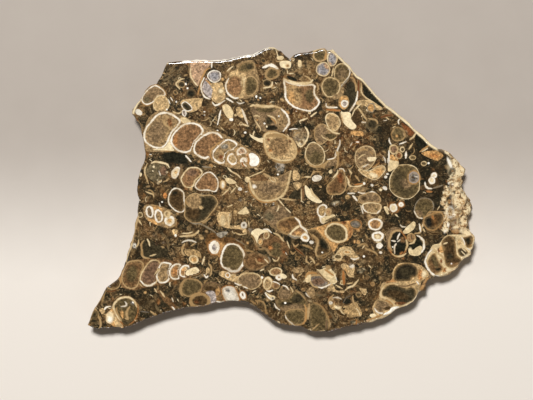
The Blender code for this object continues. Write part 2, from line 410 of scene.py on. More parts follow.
def markFace(points, depth, rows, layers, brightness):  # small broken shells, then the drawn marks
    flat = points[:, :2] / mm - np.array(markings["shift"])
    order = np.argsort(flat[:, 0])
    sortedX = flat[order, 0]

    def around(mark):
        low, high = mark["path"].min(0), mark["path"].max(0)
        edge = mark["width"] + mark["reach"] + mark["soft"] + markings["spare"]
        near = order[np.searchsorted(sortedX, low[0] - edge):np.searchsorted(sortedX, high[0] + edge)]
        return near[(flat[near, 1] > low[1] - edge) & (flat[near, 1] < high[1] + edge)]

    def lay(mark, highest=None):
        near = around(mark)
        if not len(near):
            return False
        distance, width, reached = measureMark(mark, flat[near])
        if mark["width"] == 0 and mark["soft"] >= markings["softest"]:
            layers.tint(mark, rows[near], distance)
            return True
        distance = distance + depth[near] * markings["lean"]
        width = width - depth[near] * mark["width"] / markings["fade"]
        return layers.add(mark, rows[near], distance, width, reached, highest)

    covered = np.zeros(len(flat), bool)
    strong, sharp = markings["solid"]
    for mark in marks:
        near = around(mark)
        if len(near) and mark["strength"] > strong and mark["soft"] < sharp:
            distance, width, reached = measureMark(mark, flat[near])
            covered[near[(distance < 0) & mark["closed"] | (reached < mark["width"] / 2)]] = True
    drawn = list(marks)
    random = np.random.default_rng(slab["seed"])
    free = np.flatnonzero(~covered)
    placed = 0
    scatter = hashLooks["scatter"]
    for _ in range(hashLooks["tries"]):
        x, y = flat[free[int(random.integers(len(free)))]] + random.uniform(-scatter, scatter, 2)
        mark = hashMark(random, x * 10, y * 10)
        if random.random() < hashLooks["sparse"] + (1 - hashLooks["sparse"]) * brightness(x, y):
            placed += lay(mark, hashLooks["highest"])
    for mark in drawn:
        lay(mark)
    print("face:", len(drawn), "drawn marks,", placed, "small shells,", layers.clashes, "clashes")


def markDepths(points, rows, layers):  # solid ovals, cut wherever they meet the surface
    random = np.random.default_rng(slab["seed"] + 1)
    spots = points / mm
    shares = deepLooks["shares"]
    around, past = deepLooks["spare"]
    for _ in range(deepLooks["tries"]):
        centre = spots[int(random.integers(len(spots)))] + random.normal(0, deepLooks["scatter"], 3)
        sizes = [between(random, deepLooks, "small"), between(random, deepLooks, "large")]
        size = random.choice(sizes, p=shares)
        turn = random.uniform(0, math.pi)
        radii = size * np.array([1, between(random, deepLooks, "up"), between(random, deepLooks, "deep")])
        near = np.flatnonzero((np.abs(spots - centre) < radii.max() + around).all(1))
        if not len(near):
            continue
        offset = spots[near] - centre
        c, s = math.cos(turn), math.sin(turn)
        offset = np.stack([offset[:, 0] * c + offset[:, 1] * s, offset[:, 1] * c - offset[:, 0] * s,
                           offset[:, 2]], 1)
        first = np.sqrt(((offset / radii) ** 2).sum(1)) + 1e-6
        second = np.sqrt(((offset / radii ** 2) ** 2).sum(1)) + 1e-6
        distance = first * (first - 1) / second
        width = between(random, deepLooks, "wall")
        reach = random.choice([0.0, deepLooks["stainReach"]], p=shares)
        mark = {"closed": True, "width": width, "reach": reach, "soft": deepLooks["soft"], "strength": 1.0,
                "filling": pick(random, deepLooks["filling"]), "wall": pick(random, deepLooks["shell"]),
                "stain": pick(random, deepLooks["stain"])}
        keep = distance < width / 2 + reach + markings["spare"] + past
        layers.add(mark, rows[near[keep]], distance[keep], np.full(keep.sum(), width),
                   np.maximum(distance[keep], 0), deepLooks["highest"])


def radiiAway(flat, x, y, across, up, turn):  # how far from the middle of an oval, in its own radii
    c, s = math.cos(math.radians(turn)), math.sin(math.radians(turn))
    dx, dy = flat[:, 0] - x, flat[:, 1] - y
    return np.hypot((dx * c + dy * s) / across, (dy * c - dx * s) / up)


def groundColours(flat):  # the rock between the shells: dark and glassy, or brown and full of fine hash
    plain, hashed = slab["plainGround"]
    ground = np.tile([*linearColour(plain), hashed], (len(flat), 1))
    for name, hashed, soft, *place in groundPatches:
        share = eased((1 + soft - radiiAway(flat, *place)) / (2 * soft))[:, None]
        ground = ground * (1 - share) + share * np.array([*linearColour(name), hashed])
    return ground


def rimColours(flat, bare):  # shell that shows along the rim, pale bands with painted highlight along the top edges, and the spots of the crust
    tint = np.zeros((len(flat), 4))
    edge = slab["bandEdge"]
    for name, width, *places in rimBandsAndHighlights:
        path = smoothPath(tenths(places), False, 3)
        around = width / 2 + edge
        near = (flat > path.min(0) - around).all(1) & (flat < path.max(0) + around).all(1)
        rows = np.flatnonzero(bare & near)
        if len(rows):
            reached = measureMark({"path": path, "closed": False, "width": width}, flat[rows])[2]
            share = np.clip((width / 2 + edge - reached) / (2 * edge), 0, 1)[:, None]
            tint[rows] = tint[rows] * (1 - share) + share * np.array([*linearColour(name), 1])
    spotEdge, spotFade = slab["spotEdge"]
    for name, *place, strength in crustSpots:
        share = np.clip((spotEdge - radiiAway(flat, *place)) / spotFade, 0, 1)
        share = (share * strength * bare)[:, None]
        tint = tint * (1 - share) + share * np.array([*linearColour(name), 1])
    tint[:, :3] /= np.maximum(tint[:, 3:], 0.001)
    return tint


def readPoints(data, name):
    values = np.empty(len(data.vertices) * 3, np.float32)
    data.vertices.foreach_get(name, values)
    return values.reshape(-1, 3)


def storePoints(data, name, values):  # under a name that the stone's material reads
    kind, field = ("FLOAT_VECTOR", "vector") if values.shape[1] == 3 else ("FLOAT_COLOR", "color")
    attribute = data.attributes.new(name, kind, "POINT")
    attribute.data.foreach_set(field, values.astype(np.float32).ravel())


def markSlab(data):
    points, normals = readPoints(data, "co"), readPoints(data, "normal")
    depth = (points[:, 2].max() - points[:, 2]) / mm
    flat = points[:, :2] / mm - np.array(markings["shift"])
    polished = depth < slab["polishDepth"]
    drawnLean, lowerRimShadeLean, bandLean = slab["leans"]
    front = (depth < markings["fade"]) & (normals[:, 2] > drawnLean)
    ground = groundColours(flat)
    layers = Layers(slab["layers"], len(points), ground)
    drawEverything()

    def brightness(x, y):
        nearest = np.abs(flat[:, 0] - x) + np.abs(flat[:, 1] - y)
        return ground[nearest.argmin(), 3]

    rows = np.flatnonzero(front)
    markFace(points[rows], np.maximum(depth[rows] - slab["polishDepth"], 0), rows, layers, brightness)
    rows = np.flatnonzero(~front)
    markDepths(points[rows], rows, layers)
    knobbly = rampUp(flat[:, 0], *slab["knobbly"])
    begins, span = slab["crustDepth"]
    sooner, shorter = slab["knobCrust"]
    crust = np.clip((depth - begins + sooner * knobbly) / (span - shorter * knobbly), 0, 1)
    crust = crust * rampUp(points[:, 2] / mm, *slab["crustHeight"])
    for x, y, size in crustPatches:
        rough = np.hypot(flat[:, 0] - x, flat[:, 1] - y) < size
        crust[rough & (depth < slab["lowerRimShadeDepth"][0])] = 1
        polished = polished & ~rough
    # painted shade: the rim darkens from 1.2 to 1.5 mm below the polished face on, where it does not face
    # down
    lowerRimShade = rampUp(depth, *slab["lowerRimShadeDepth"])
    surface = np.stack([polished * 1.0, crust, lowerRimShade * (normals[:, 2] > lowerRimShadeLean), knobbly], 1)
    used = [level for level in range(layers.count) if layers.used[level].any()]
    for level in used:
        storePoints(data, "shape%d" % level, layers.shape[level])
        for part, values in layers.looks.items():
            storePoints(data, "%s%d" % (part, level), values[level])
    tint = rimColours(flat, (depth < slab["bandDepth"]) & (normals[:, 2] > bandLean))
    for name, values in (("ground", ground), ("surface", surface), ("tint", tint)):
        storePoints(data, name, values)
    return len(used)


# Patches of the rock between the shells: colour, how much fine hash it holds, softness of its edge,
# middle, half width, half height and turn
groundPatches = [
    ("brown", 0.75, 0.5, -10, -1.5, 9, 6, 0), ("brown", 0.9, 0.5, 4.6, -4, 4.5, 3.2, -30),
    ("rust", 0.8, 0.5, 15.5, 10.5, 5, 4.5, 0), ("umber", 0.7, 0.5, 21.5, 2.2, 4, 3, 0),
    ("rust", 0.9, 0.5, 3.5, 16.5, 4, 4, 0), ("umber", 0.7, 0.5, 9, 22.5, 2, 5, 0),
    ("sand", 0.9, 0.5, 4.8, 27.6, 3.4, 2.6, 0), ("night", 0.2, 0.4, 5.2, 31, 2.4, 1, 0),
    ("sage", 0.4, 0.4, -25.2, 26.3, 3, 3.4, 30), ("moss", 0.4, 0.4, -13.2, 27.5, 2, 2.6, 0),
    ("brown", 0.8, 0.4, -12, 27.6, 1.5, 1.3, 0), ("brown", 0.9, 0.5, -21.5, 21.2, 3, 2.2, 0),
    ("rust", 0.9, 0.5, -18, 18.2, 1.5, 1.3, 0), ("night", 0.2, 0.4, -17.4, 20.3, 0.8, 0.8, 0),
    ("night", 0.2, 0.4, -21, 17, 0.8, 0.7, 0), ("ink", 0.1, 0.4, -24.8, 7.4, 2.8, 1.6, 0),
    ("moss", 0.5, 0.4, -29.6, 7.7, 1.4, 0.7, 0), ("brown", 0.8, 0.5, -10.4, 15, 2.3, 1.6, 0),
    ("night", 0.3, 0.4, -8.5, 12, 1.6, 1.6, 0), ("umber", 0.7, 0.5, -5.6, 8.4, 1.5, 3.2, 0),
    ("night", 0.2, 0.4, 4.9, 15, 2.6, 0.8, 0), ("night", 0.3, 0.4, 9.4, 18, 0.8, 1.5, 0),
    ("night", 0.2, 0.5, 24, 12.7, 1.6, 3.8, 0), ("sage", 0.6, 0.4, 19.3, 18.6, 0.8, 1.4, 0),
    ("moss", 0.4, 0.4, 21.5, 17.6, 1.6, 0.8, 0), ("rust", 0.9, 0.4, 23.1, 7.2, 1.3, 1.6, 0),
    ("night", 0.2, 0.4, 30.5, 8.6, 2.7, 2.5, 0), ("moss", 0.4, 0.4, 35.4, 5.4, 2.6, 1, 0),
    ("bark", 0.4, 0.4, -32.2, -3.5, 0.7, 1.6, 0), ("night", 0.2, 0.4, -27.5, -3, 1.6, 1.6, 0),
    ("night", 0.2, 0.4, -23.6, -6.7, 2.2, 1.3, 0), ("moss", 0.4, 0.4, -25.4, 1.8, 0.9, 0.8, 0),
    ("moss", 0.3, 0.4, -11.7, 4.4, 2.8, 1.6, 0), ("night", 0.15, 0.4, 9, -0.6, 2.6, 2.4, -40),
    ("night", 0.2, 0.4, 14.5, -3, 3, 1.6, 0), ("night", 0.2, 0.4, 36.3, -1.5, 2.2, 2.6, 0),
    ("night", 0.2, 0.4, 29.5, -4.5, 2.4, 3, 0), ("brown", 0.7, 0.4, 14, -18, 8, 3, 20),
    ("night", 0.2, 0.5, -31, -14, 4.6, 2.6, 0), ("moss", 0.2, 0.5, -30, -25, 7, 3.6, -20),
    ("night", 0.12, 0.5, 31.5, 0, 7, 11, 0), ("night", 0.3, 0.5, 29, -14, 7, 6, 0),
    ("moss", 0.45, 0.5, 20, -19, 9, 4, 20), ("umber", 0.6, 0.5, 9, -17, 6, 4, 0),
    ("brown", 0.8, 0.4, -24, -13.5, 2, 3.2, 0), ("brown", 0.7, 0.4, -30.5, -9, 2.2, 1.6, 0),
    ("night", 0.2, 0.4, 3, -13, 4, 3.4, 0), ("brown", 0.7, 0.5, 12, -28, 4, 3, 0),
    ("brown", 0.9, 0.5, -2.6, 26, 2.6, 4.5, 0), ("brown", 0.9, 0.5, -13.7, 17.7, 2.4, 2.4, 0),
    ("clay", 0.9, 0.5, -9.5, -1, 3.2, 2.4, 0), ("sand", 0.9, 0.5, -9, -4.8, 3, 2, 0),
]


# Shell seen edge on along the rim, and along the top edges painted highlight where they catch the light:
# colour, width, and its path in tenths of a millimetre
rimBandsAndHighlights = [
    # the first five run along the top edges: pale rim colour and painted highlight
    ("white", 0.4, -226, 300, -194, 302, -165, 301, -138, 302, -121, 305, -103, 309, -88, 312, -65, 314,
     -51, 322, -38, 329, -28, 330),
    ("cream", 0.35, -26, 330, -15, 330, -3, 325),
    ("ivory", 0.3, 76, 323, 88, 328, 102, 330, 109, 326),
    ("cream", 0.55, 109, 325, 121, 326, 135, 309, 146, 298, 160, 285, 169, 274, 176, 264, 188, 257,
     201, 243, 214, 227, 232, 208, 244, 196),
    ("cream", 0.65, 244, 196, 260, 185, 279, 169, 297, 154, 315, 136, 332, 121, 347, 106, 365, 96, 379, 92,
     394, 83),
    ("tan", 0.5, -331, -60, -336, -80, -341, -98, -344, -116, -349, -136),
    ("ivory", 0.3, -346, -124, -354, -146, -360, -166),
    ("cream", 0.5, -341, 180, -333, 199, -324, 211),
    ("sand", 0.4, -450, -312, -438, -282, -418, -250),
    ("honey", 0.8, 342, -206, 334, -220, 328, -230),
    ("cream", 0.5, 326, -236, 316, -250, 308, -260),
    ("ivory", 0.7, 306, -261, 288, -270, 270, -280, 256, -290, 234, -299, 210, -307),
]

# Spots on the crust: colour, middle, half width, half height, turn and strength
crustSpots = [
    ("cream", 40.8, 4.6, 1.9, 3.2, 20, 0.5), ("white", 39.2, 6.4, 0.35, 1.5, 25, 0.9),
    ("tan", 42.2, 2.4, 1, 1, 0, 0.6), ("honey", 41.5, 2.5, 0.6, 0.5, 0, 0.7),
    ("umber", 39.6, 2.6, 0.7, 0.35, 0, 0.8), ("cream", 41.6, -1.2, 2.2, 1.6, -20, 0.4),
    ("sand", 42.6, -3.6, 1.6, 2, 0, 0.3), ("cream", 43.4, -5.6, 0.7, 1.6, 0, 0.7),
    ("sand", 41, -7, 2, 1.4, 0, 0.3), ("bark", 40.3, -0.4, 0.4, 0.45, 0, 0.9),
    ("bark", 39.4, -1.4, 0.35, 0.6, 0, 0.9), ("bark", 38.3, -2.7, 0.4, 0.4, 0, 0.9),
    ("umber", 39.5, -3.6, 0.9, 0.25, 30, 0.9), ("bark", 42.3, -4.8, 0.3, 0.3, 0, 0.9),
    ("umber", 41.8, -7.2, 0.3, 0.9, 15, 0.9), ("bark", 43.7, -6.6, 0.25, 0.8, 0, 0.8),
    ("honey", 42.3, -2.8, 0.6, 0.5, 0, 0.8), ("orange", 42.3, -4, 0.45, 0.4, 0, 0.7),
    ("honey", 40.7, -9.4, 1, 0.5, 0, 0.7), ("orange", 43, -8.3, 0.5, 0.4, 0, 0.6),
    ("rust", 41.2, -5.6, 0.3, 0.3, 0, 0.8), ("rust", 40.7, -7.5, 0.35, 0.35, 0, 0.8),
    ("milk", 39.4, -5, 0.95, 1.4, 0, 0.8), ("sand", 39.4, -5, 0.6, 1, 0, 0.9),
    ("white", 40.4, -5.6, 0.3, 0.3, 0, 0.9), ("white", 38.9, -8, 0.3, 0.7, 0, 0.9),
    ("white", 38.3, -9.4, 0.3, 0.6, -30, 0.9), ("moss", 39.8, 4.4, 0.8, 1.1, -20, 0.9),
    ("umber", 37.2, 9.2, 0.9, 0.45, -25, 0.9), ("white", 39, 1.8, 0.25, 0.25, 0, 0.9),
    ("white", 39.9, 1.4, 0.25, 0.25, 0, 0.9), ("cream", 43, -9.4, 1.4, 0.6, 0, 0.8),
    ("bark", 42.2, -0.4, 0.5, 0.25, -20, 0.7), ("umber", 43.6, -2.6, 0.3, 0.7, 10, 0.7),
    ("cream", 44.2, -3.6, 0.5, 0.9, 0, 0.8),
]

# Rough patches that eat into the polished face: middle and radius
crustPatches = [
    (38.4, 0.6, 0.5), (38.6, -0.6, 0.9), (38, -1.8, 0.6), (37.9, -2.8, 0.8), (38.6, -3.8, 0.7),
    (38.8, -5.2, 0.8), (38.6, -6.6, 0.7), (38.5, -7.9, 0.7), (38.3, -9, 0.8), (39.3, 2.3, 0.5),
    (40.2, 3, 1), (41, 4.6, 1.4), (41, 6.2, 1.2), (40.3, 7.6, 0.8),
]


def upperLeftCorner():
    blob("ink", [-278, 254, -264, 296, -220, 300, -208, 286, -200, 256, -194, 230, -206, 214, -230, 224,
                 -248, 226, -266, 234], soft=0.5, strength=0.7)
    for x, y, long in ((-260, 260, 24), (-256, 272, 26), (-250, 284, 22), (-240, 260, 18), (-264, 246, 16),
                       (-228, 282, 16)):
        line("sage", 0.3, x - long / 2, y - 5, x, y, x + long / 2, y + 10)
    cell("taupe", [-293, 243, -315, 225, -320, 208, -309, 200, -294, 207, -283, 219, -267, 222, -274, 235],
         thick=0.28, stain="honey", reach=0.4)
    spot("sage", -310, 210, 0.8)
    oval("tan", -276, 201, 1.75, 1.9, wall="ivory")
    line("white", 0.22, -255, 217, -249, 208)
    line("white", 0.22, -260, 212, -255, 201)
    spot("honey", -328, 182, 1.3, 1.0, -35, soft=0.5)
    spot("milk", -328, 182, 0.9, 0.65, -35, soft=0.1)
    oval("night", -229, 246, 0.8, 0.7, wall="tan", thick=0.15)
    line("ivory", 0.27, -222, 259, -229, 258, -242, 247, -232, 235)
    spot("white", -219, 247, 0.25, 0.3, soft=0.1)
    oval("night", -207, 225, 1.2, 1.2, wall="brown", thick=0.2)
    line("taupe", 0.3, -209, 298, -211, 282, -206, 260, -194, 238)
    spot("orange", -213, 294, 0.7, 0.4)
    blob("pink", [-208, 285, -205, 260, -192, 242, -186, 256, -174, 278, -162, 292, -164, 302, -203, 302])
    line("cream", 0.28, -208, 284, -208, 270, -205, 260, -192, 242)
    line("honey", 0.32, -163, 284, -172, 279, -182, 259, -191, 222)
    line("white", 0.35, -159, 300, -159, 285)
    oval("blue", -153, 265, 1.5, 1.35)
    blob("lilac", [-173, 260, -181, 240, -179, 229, -164, 215, -158, 219, -156, 235, -168, 256])
    line("white", 0.3, -176, 262, -184, 242, -177, 219, -162, 212)
    line("honey", 0.35, -174, 257, -165, 250, -160, 242)
    blob("tan", [-162, 248, -145, 250, -135, 250, -128, 226, -129, 212, -146, 202, -160, 215, -157, 232])
    spot("cream", -138, 231, 0.5, soft=0.4)
    line("white", 0.32, -158, 206, -154, 200, -148, 198, -129, 209)
    blob("tan", [-229, 209, -183, 214, -182, 204, -186, 193, -204, 182, -224, 186])
    cell("night", [-228, 201, -220, 206, -209, 198, -205, 189, -216, 185, -226, 193], thick=0.2)
    oval("lilac", -223, 180, 0.45, 0.75, 10, thick=0.22)
    line("ivory", 0.3, -250, 185, -243, 180, -235, 179, -228, 185)
    for x, y in ((-241, 206), (-263, 188), (-215, 237)):
        spot("white", x, y, 0.24, soft=0.1)


def topMiddle():
    blob("night", [-271, 86, -250, 90, -223, 82, -215, 67, -234, 63, -257, 67, -271, 75])
    blob("clay", [-126, 235, -124, 262, -106, 278, -96, 296, -64, 302, -56, 282, -49, 254, -54, 226,
                  -74, 214, -100, 212, -120, 219])
    blob("tan", [-96, 216, -82, 224, -78, 256, -90, 280, -106, 278, -118, 266])
    cell("chestnut", [-124, 250, -114, 264, -98, 265, -88, 252, -89, 233, -99, 217, -116, 221, -125, 234],
         wall="tan", thick=0.2)
    line("white", 0.35, -120, 260, -127, 244, -122, 226, -108, 215, -98, 215)
    spot("ivory", -84, 250, 0.8, 1.2, soft=0.6, strength=0.7)
    cell("olive", [-80, 256, -69, 265, -55, 254, -56, 233, -70, 220, -82, 226], wall="tan")
    cell("olive", [-98, 281, -87, 295, -66, 298, -60, 284, -74, 275, -90, 274], wall="sand", thick=0.2)
    spot("moss", -72, 286, 0.7, 0.6)
    line("cream", 0.27, -124, 277, -110, 288)
    line("cream", 0.2, -134, 296, -130, 293)
    line("white", 0.5, -125, 214, -110, 205)
    line("milk", 0.24, -101, 205, -93, 202, -84, 205)
    spot("white", -56, 218, 0.22, 0.4, soft=0.1)
    spot("white", -47, 215, 0.24, soft=0.1)
    oval("olive", -20, 271, 1.5, 1.2, 20, wall="sand", thick=0.4)
    line("white", 0.85, -40, 285, -31, 289, -19, 290, -7, 283)
    oval("night", -31, 249, 1, 0.8, wall="tan", thick=0.15)
    line("cream", 0.32, -19, 252, -20, 244, -26, 240, -40, 238)
    line("cream", 0.25, -17, 238, -10, 240)
    line("cream", 0.22, -11, 327, -6, 310)
    spot("ivory", -1, 307, 0.9, 0.5, soft=0.1)
    line("tan", 0.4, -10, 299, 20, 299)
    line("tan", 0.24, 32, 314, 19, 302)
    blob("cream", [-1, 299, 22, 299, 24, 289, 19, 283, 1, 286])
    spot("honey", 16, 289, 0.4)
    line("cream", 0.27, 16, 278, 16, 271)
    line("cream", 0.27, 18, 271, 30, 271)
    blob("night", [14, 266, 31, 262, 39, 254, 22, 257])
    blob("tan", [8, 259, 48, 246, 75, 256, 64, 252, 32, 253])
    cell("chestnut", [8, 256, 11, 233, 13, 212, 29, 196, 50, 188, 72, 186, 89, 204, 78, 223, 76, 245,
                      45, 244, 18, 251], thick=0.4)
    spot("sand", 30, 222, 1.9, 2.6, 15, soft=1.4, strength=0.8)
    spot("honey", 25, 216, 0.8, 1.5, 10, soft=0.8, strength=0.8)
    spot("umber", 46, 232, 1, 0.5, -20, soft=0.5, strength=0.7)
    spot("olive", 67, 220, 1.1, 1.6, soft=0.8)
    line("cream", 0.6, 8, 259, 32, 249, 64, 249, 74, 256)
    line("tan", 0.27, 84, 250, 87, 238, 84, 230)
    line("ivory", 0.3, 56, 266, 64, 262, 70, 255)
    spot("ivory", 44, 294, 0.5, 0.9, soft=0.1)
    spot("ivory", 46, 284, 0.5)
    oval("olive", 91, 314, 1.55, 1.45, wall="tan", thick=0.35)
    oval("blue", 119, 305, 1.1, 1.6, wall="cream")
    oval("blue", 98, 281, 1.55, 1.55, wall="cream")
    spot("pink", 109, 290, 0.9)
    line("honey", 0.4, 105, 317, 102, 303)
    line("cream", 0.4, 115, 325, 125, 317, 131, 310, 140, 305)
    line("ivory", 0.4, 122, 284, 118, 265)


def upperRight():
    cell("olive", [126, 256, 125, 282, 138, 294, 154, 289, 160, 273, 154, 259, 140, 249], wall="ivory",
         thick=0.2)
    spot("taupe", 142, 270, 1.2, 1.3, soft=0.9, strength=0.7)
    line("white", 0.2, 146, 294, 157, 287, 160, 273, 153, 258, 137, 240)
    line("grey", 0.27, 158, 261, 138, 238, 135, 230)
    oval("olive", 116, 240, 2.05, 2.2, wall="ivory", thick=0.22, stain="sand", reach=0.4)
    blob("clay", [141, 239, 147, 237, 143, 220, 125, 211, 120, 219, 136, 228])
    blob("moss", [159, 253, 172, 245, 174, 226, 175, 212, 164, 192, 152, 192, 159, 213, 151, 232])
    line("tan", 0.32, 160, 262, 168, 260, 174, 243, 174, 230)
    line("white", 0.37, 178, 230, 175, 208, 160, 184)
    line("rust", 0.5, 180, 256, 180, 214)
    line("ivory", 0.32, 186, 250, 190, 222, 224, 200, 235, 189)
    blob("night", [190, 246, 194, 243, 212, 221, 238, 196, 232, 195, 212, 208, 194, 221])
    oval("honey", 146, 205, 1.2, 1.6, wall="sand", thick=0.15)
    oval("lilac", 148, 202, 0.7, 0.7, thick=0.35)
    spot("night", 121, 201, 1, 0.6)
    line("white", 0.42, 105, 202, 108, 194, 131, 193)
    line("orange", 0.5, 106, 188, 138, 186)
    blob("tan", [177, 208, 202, 210, 229, 194, 234, 188, 218, 188, 190, 198, 174, 199])
    oval("honey", 209, 192, 0.85, 1, wall="grey", thick=0.22)
    line("cream", 0.32, 186, 202, 173, 188, 164, 172)
    line("ivory", 0.3, 179, 193, 199, 164)
    line("milk", 0.37, 182, 160, 199, 158)
    blob("umber", [176, 190, 167, 172, 172, 156, 185, 156, 188, 168])
    blob("cream", [140, 190, 143, 182, 160, 182, 164, 164, 176, 149, 165, 142, 150, 152, 140, 170])
    spot("honey", 141, 166, 0.35, 1.6, 12, strength=0.8)
    oval("moss", 212, 154, 1.4, 1.4, wall="sage", thick=0.2)
    line("tan", 0.27, 201, 168, 220, 164, 225, 155)
    line("white", 0.2, 238, 162, 246, 164)
    line("rust", 0.5, 232, 170, 245, 174, 260, 176)
    cell("tan", [104, 170, 116, 180, 132, 172, 138, 154, 127, 140, 112, 144], wall="cream")
    spot("clay", 121, 160, 1.2, 1.4, soft=0.4)
    cell("taupe", [79, 141, 90, 154, 105, 151, 113, 125, 92, 107, 80, 121], wall="tan", thick=0.22)
    blob("olive", [102, 132, 129, 129, 118, 120, 105, 126])
    line("cream", 0.4, 106, 146, 123, 135, 137, 132)
    line("ivory", 0.25, 94, 130, 100, 123, 116, 117, 130, 125)
    line("milk", 0.32, 137, 118, 137, 108, 126, 82)
    line("cream", 0.3, 126, 117, 126, 109)
    line("cream", 0.42, 70, 172, 83, 182)
    spot("tan", 74, 154, 0.4, 0.5)
    blob("honey", [165, 139, 190, 137, 190, 127, 165, 130])
    line("white", 0.4, 175, 113, 181, 113, stain="orange", reach=0.4)
    line("milk", 0.3, 166, 112, 161, 104)


def longSpire():  # seven chambers across the upper left
    blob("clay", [-316, 98, -280, 90, -250, 92, -210, 84, -120, 54, -80, 52, -50, 56, -48, 82, -70, 94,
                  -120, 126, -214, 168, -250, 182, -284, 184, -310, 160])
    line("honey", 0.9, -272, 97, -256, 96, -253, 116)
    blob("cream", [-266, 103, -257, 124, -250, 100, -246, 93, -273, 94, -298, 95])
    blob("ivory", [-233, 166, -223, 170, -207, 160, -222, 156])
    cell("clay", [-301, 158, -282, 177, -260, 180, -234, 164, -239, 150, -252, 136, -263, 112, -277, 100,
                  -299, 104, -315, 119, -313, 140], thick=0.42)
    spot("taupe", -286, 136, 1.9, 2.8, -25, soft=0.9)
    line("tan", 0.3, -266, 168, -270, 158, -263, 150, -255, 145)
    spot("rust", -256, 158, 0.5, 1, 10, soft=0.5, strength=0.8)
    line("cream", 0.2, -298, 151, -294, 151)
    cell("chestnut", [-252, 110, -250, 128, -234, 146, -216, 156, -193, 154, -180, 140, -189, 124,
                      -199, 107, -214, 91, -236, 93], thick=0.4)
    spot("orange", -244, 114, 0.5, 1.6, -10, soft=0.6, strength=0.6)
    cell("chestnut", [-170, 132, -150, 134, -136, 121, -148, 106, -160, 95, -170, 77, -188, 80, -200, 92,
                      -195, 113], thick=0.4)
    cell("clay", [-158, 87, -148, 100, -134, 113, -118, 118, -100, 106, -114, 93, -126, 85, -128, 69,
                  -139, 64, -155, 74], thick=0.4)
    line("honey", 0.24, -134, 118, -160, 96, -162, 80, -158, 70)
    spot("grey", -130, 103, 0.9, 0.6, soft=0.5)
    spot("rust", -138, 78, 0.5)
    oval("tan", -110, 74, 1.2, 1.2, thick=0.37, stain="honey", reach=0.4)
    oval("pink", -90, 90, 0.95, 0.95, thick=0.45, stain="honey", reach=0.4)
    oval("orange", -86, 70, 0.5, 0.5, thick=0.6, stain="honey", reach=0.4)
    blob("white", [-74, 81, -66, 88, -50, 76, -53, 60, -70, 59])
    line("honey", 0.3, -76, 84, -73, 72, -76, 59)
    line("white", 0.6, -85, 62, -80, 57)
    line("white", 0.4, -220, 82, -207, 67)
    line("white", 0.2, -304, 84, -299, 84)


def besideLongSpire():
    line("white", 0.32, -138, 187, -146, 153)
    line("ivory", 0.24, -139, 149, -136, 144, -130, 140)
    blob("ivory", [-135, 195, -123, 200, -110, 184, -113, 165, -126, 173])
    spot("white", -114, 165, 0.5, 0.35, soft=0.1)
    blob("tan", [-103, 190, -96, 194, -84, 179, -86, 170, -99, 173])
    line("white", 0.4, -90, 190, -76, 154)
    line("cream", 0.5, -87, 154, -74, 150)
    line("cream", 0.27, -72, 132, -66, 124)
    line("cream", 0.27, -62, 137, -64, 124)
    for x, y, size in ((-155, 140, 0.24), (-146, 140, 0.24), (-165, 140, 0.27), (-123, 124, 0.3),
                       (-92, 107, 0.24), (-82, 135, 0.35), (-176, 183, 0.22), (-176, 176, 0.24)):
        spot("white", x, y, size, size * 0.7, soft=0.1)
    line("tan", 0.18, -185, 162, -173, 164, -164, 170)
    line("cream", 0.22, -158, 161, -153, 166)


def spiralShell():
    blob("taupe", [-65, 193, -20, 194, 14, 178, 18, 159, 6, 138, -26, 136, -50, 142, -62, 166])
    blob("clay", [-6, 186, 3, 185, 15, 162, 4, 142, -4, 140, -9, 162])
    blob("olive", [-55, 191, -20, 192, -9, 189, -23, 182, -50, 183])
    line("white", 0.42, 0, 191, 14, 177, 20, 160, 17, 152, 6, 138)
    line("ivory", 0.6, -70, 195, -61, 198, -34, 195, -16, 196, 0, 191)
    line("ivory", 0.32, -30, 175, -14, 168, -9, 155)
    line("honey", 0.4, -22, 167, -14, 162, -11, 156)
    spot("moss", -27, 162, 0.8, 0.9)
    spot("bark", -21, 146, 1.4, 0.6)
    line("ivory", 0.27, -60, 165, -50, 149, -46, 142, -49, 136)
    line("ivory", 0.32, -63, 173, -54, 174, -48, 171)
    for name, x, y in (("white", -37, 156), ("cream", -32, 149), ("milk", -4, 173), ("honey", -54, 164),
                       ("umber", -2, 154)):
        spot(name, x, y, 0.26, soft=0.1)
    blob("cream", [-69, 130, -52, 122, -37, 123, -37, 112, -51, 114, -68, 124])
    line("cream", 0.37, -64, 128, -61, 138)
    cell("tan", [-34, 131, -16, 136, 20, 122, 32, 108, 36, 90, 28, 74, 4, 70, -18, 76, -32, 90, -38, 118],
         wall="ivory", thick=0.36, stain="honey", reach=0.3)
    line("sand", 0.7, -32, 127, -5, 129, 14, 122)
    spot("brown", -2, 102, 2.4, 2.2, soft=0.8, strength=0.7)
    for name, x, y in (("rust", -28, 118), ("rust", 22, 115), ("orange", -24, 94)):
        spot(name, x, y, 0.35)
    line("sand", 0.3, -20, 71, 4, 65, 26, 68)
    spot("cream", 44, 125, 1.6, 2, soft=0.5)
    line("white", 0.24, 20, 142, 33, 144, 40, 143)
    line("cream", 0.32, 56, 149, 64, 134, 59, 115, 46, 102, 36, 115)
    spot("lilac", 40, 120, 0.4)
    spot("honey", 48, 114, 0.35)
    line("milk", 0.3, 45, 108, 50, 108)
    line("cream", 0.42, 44, 162, 62, 168)
    line("white", 0.22, 35, 184, 38, 184)
    line("tan", 0.24, 45, 180, 40, 168)


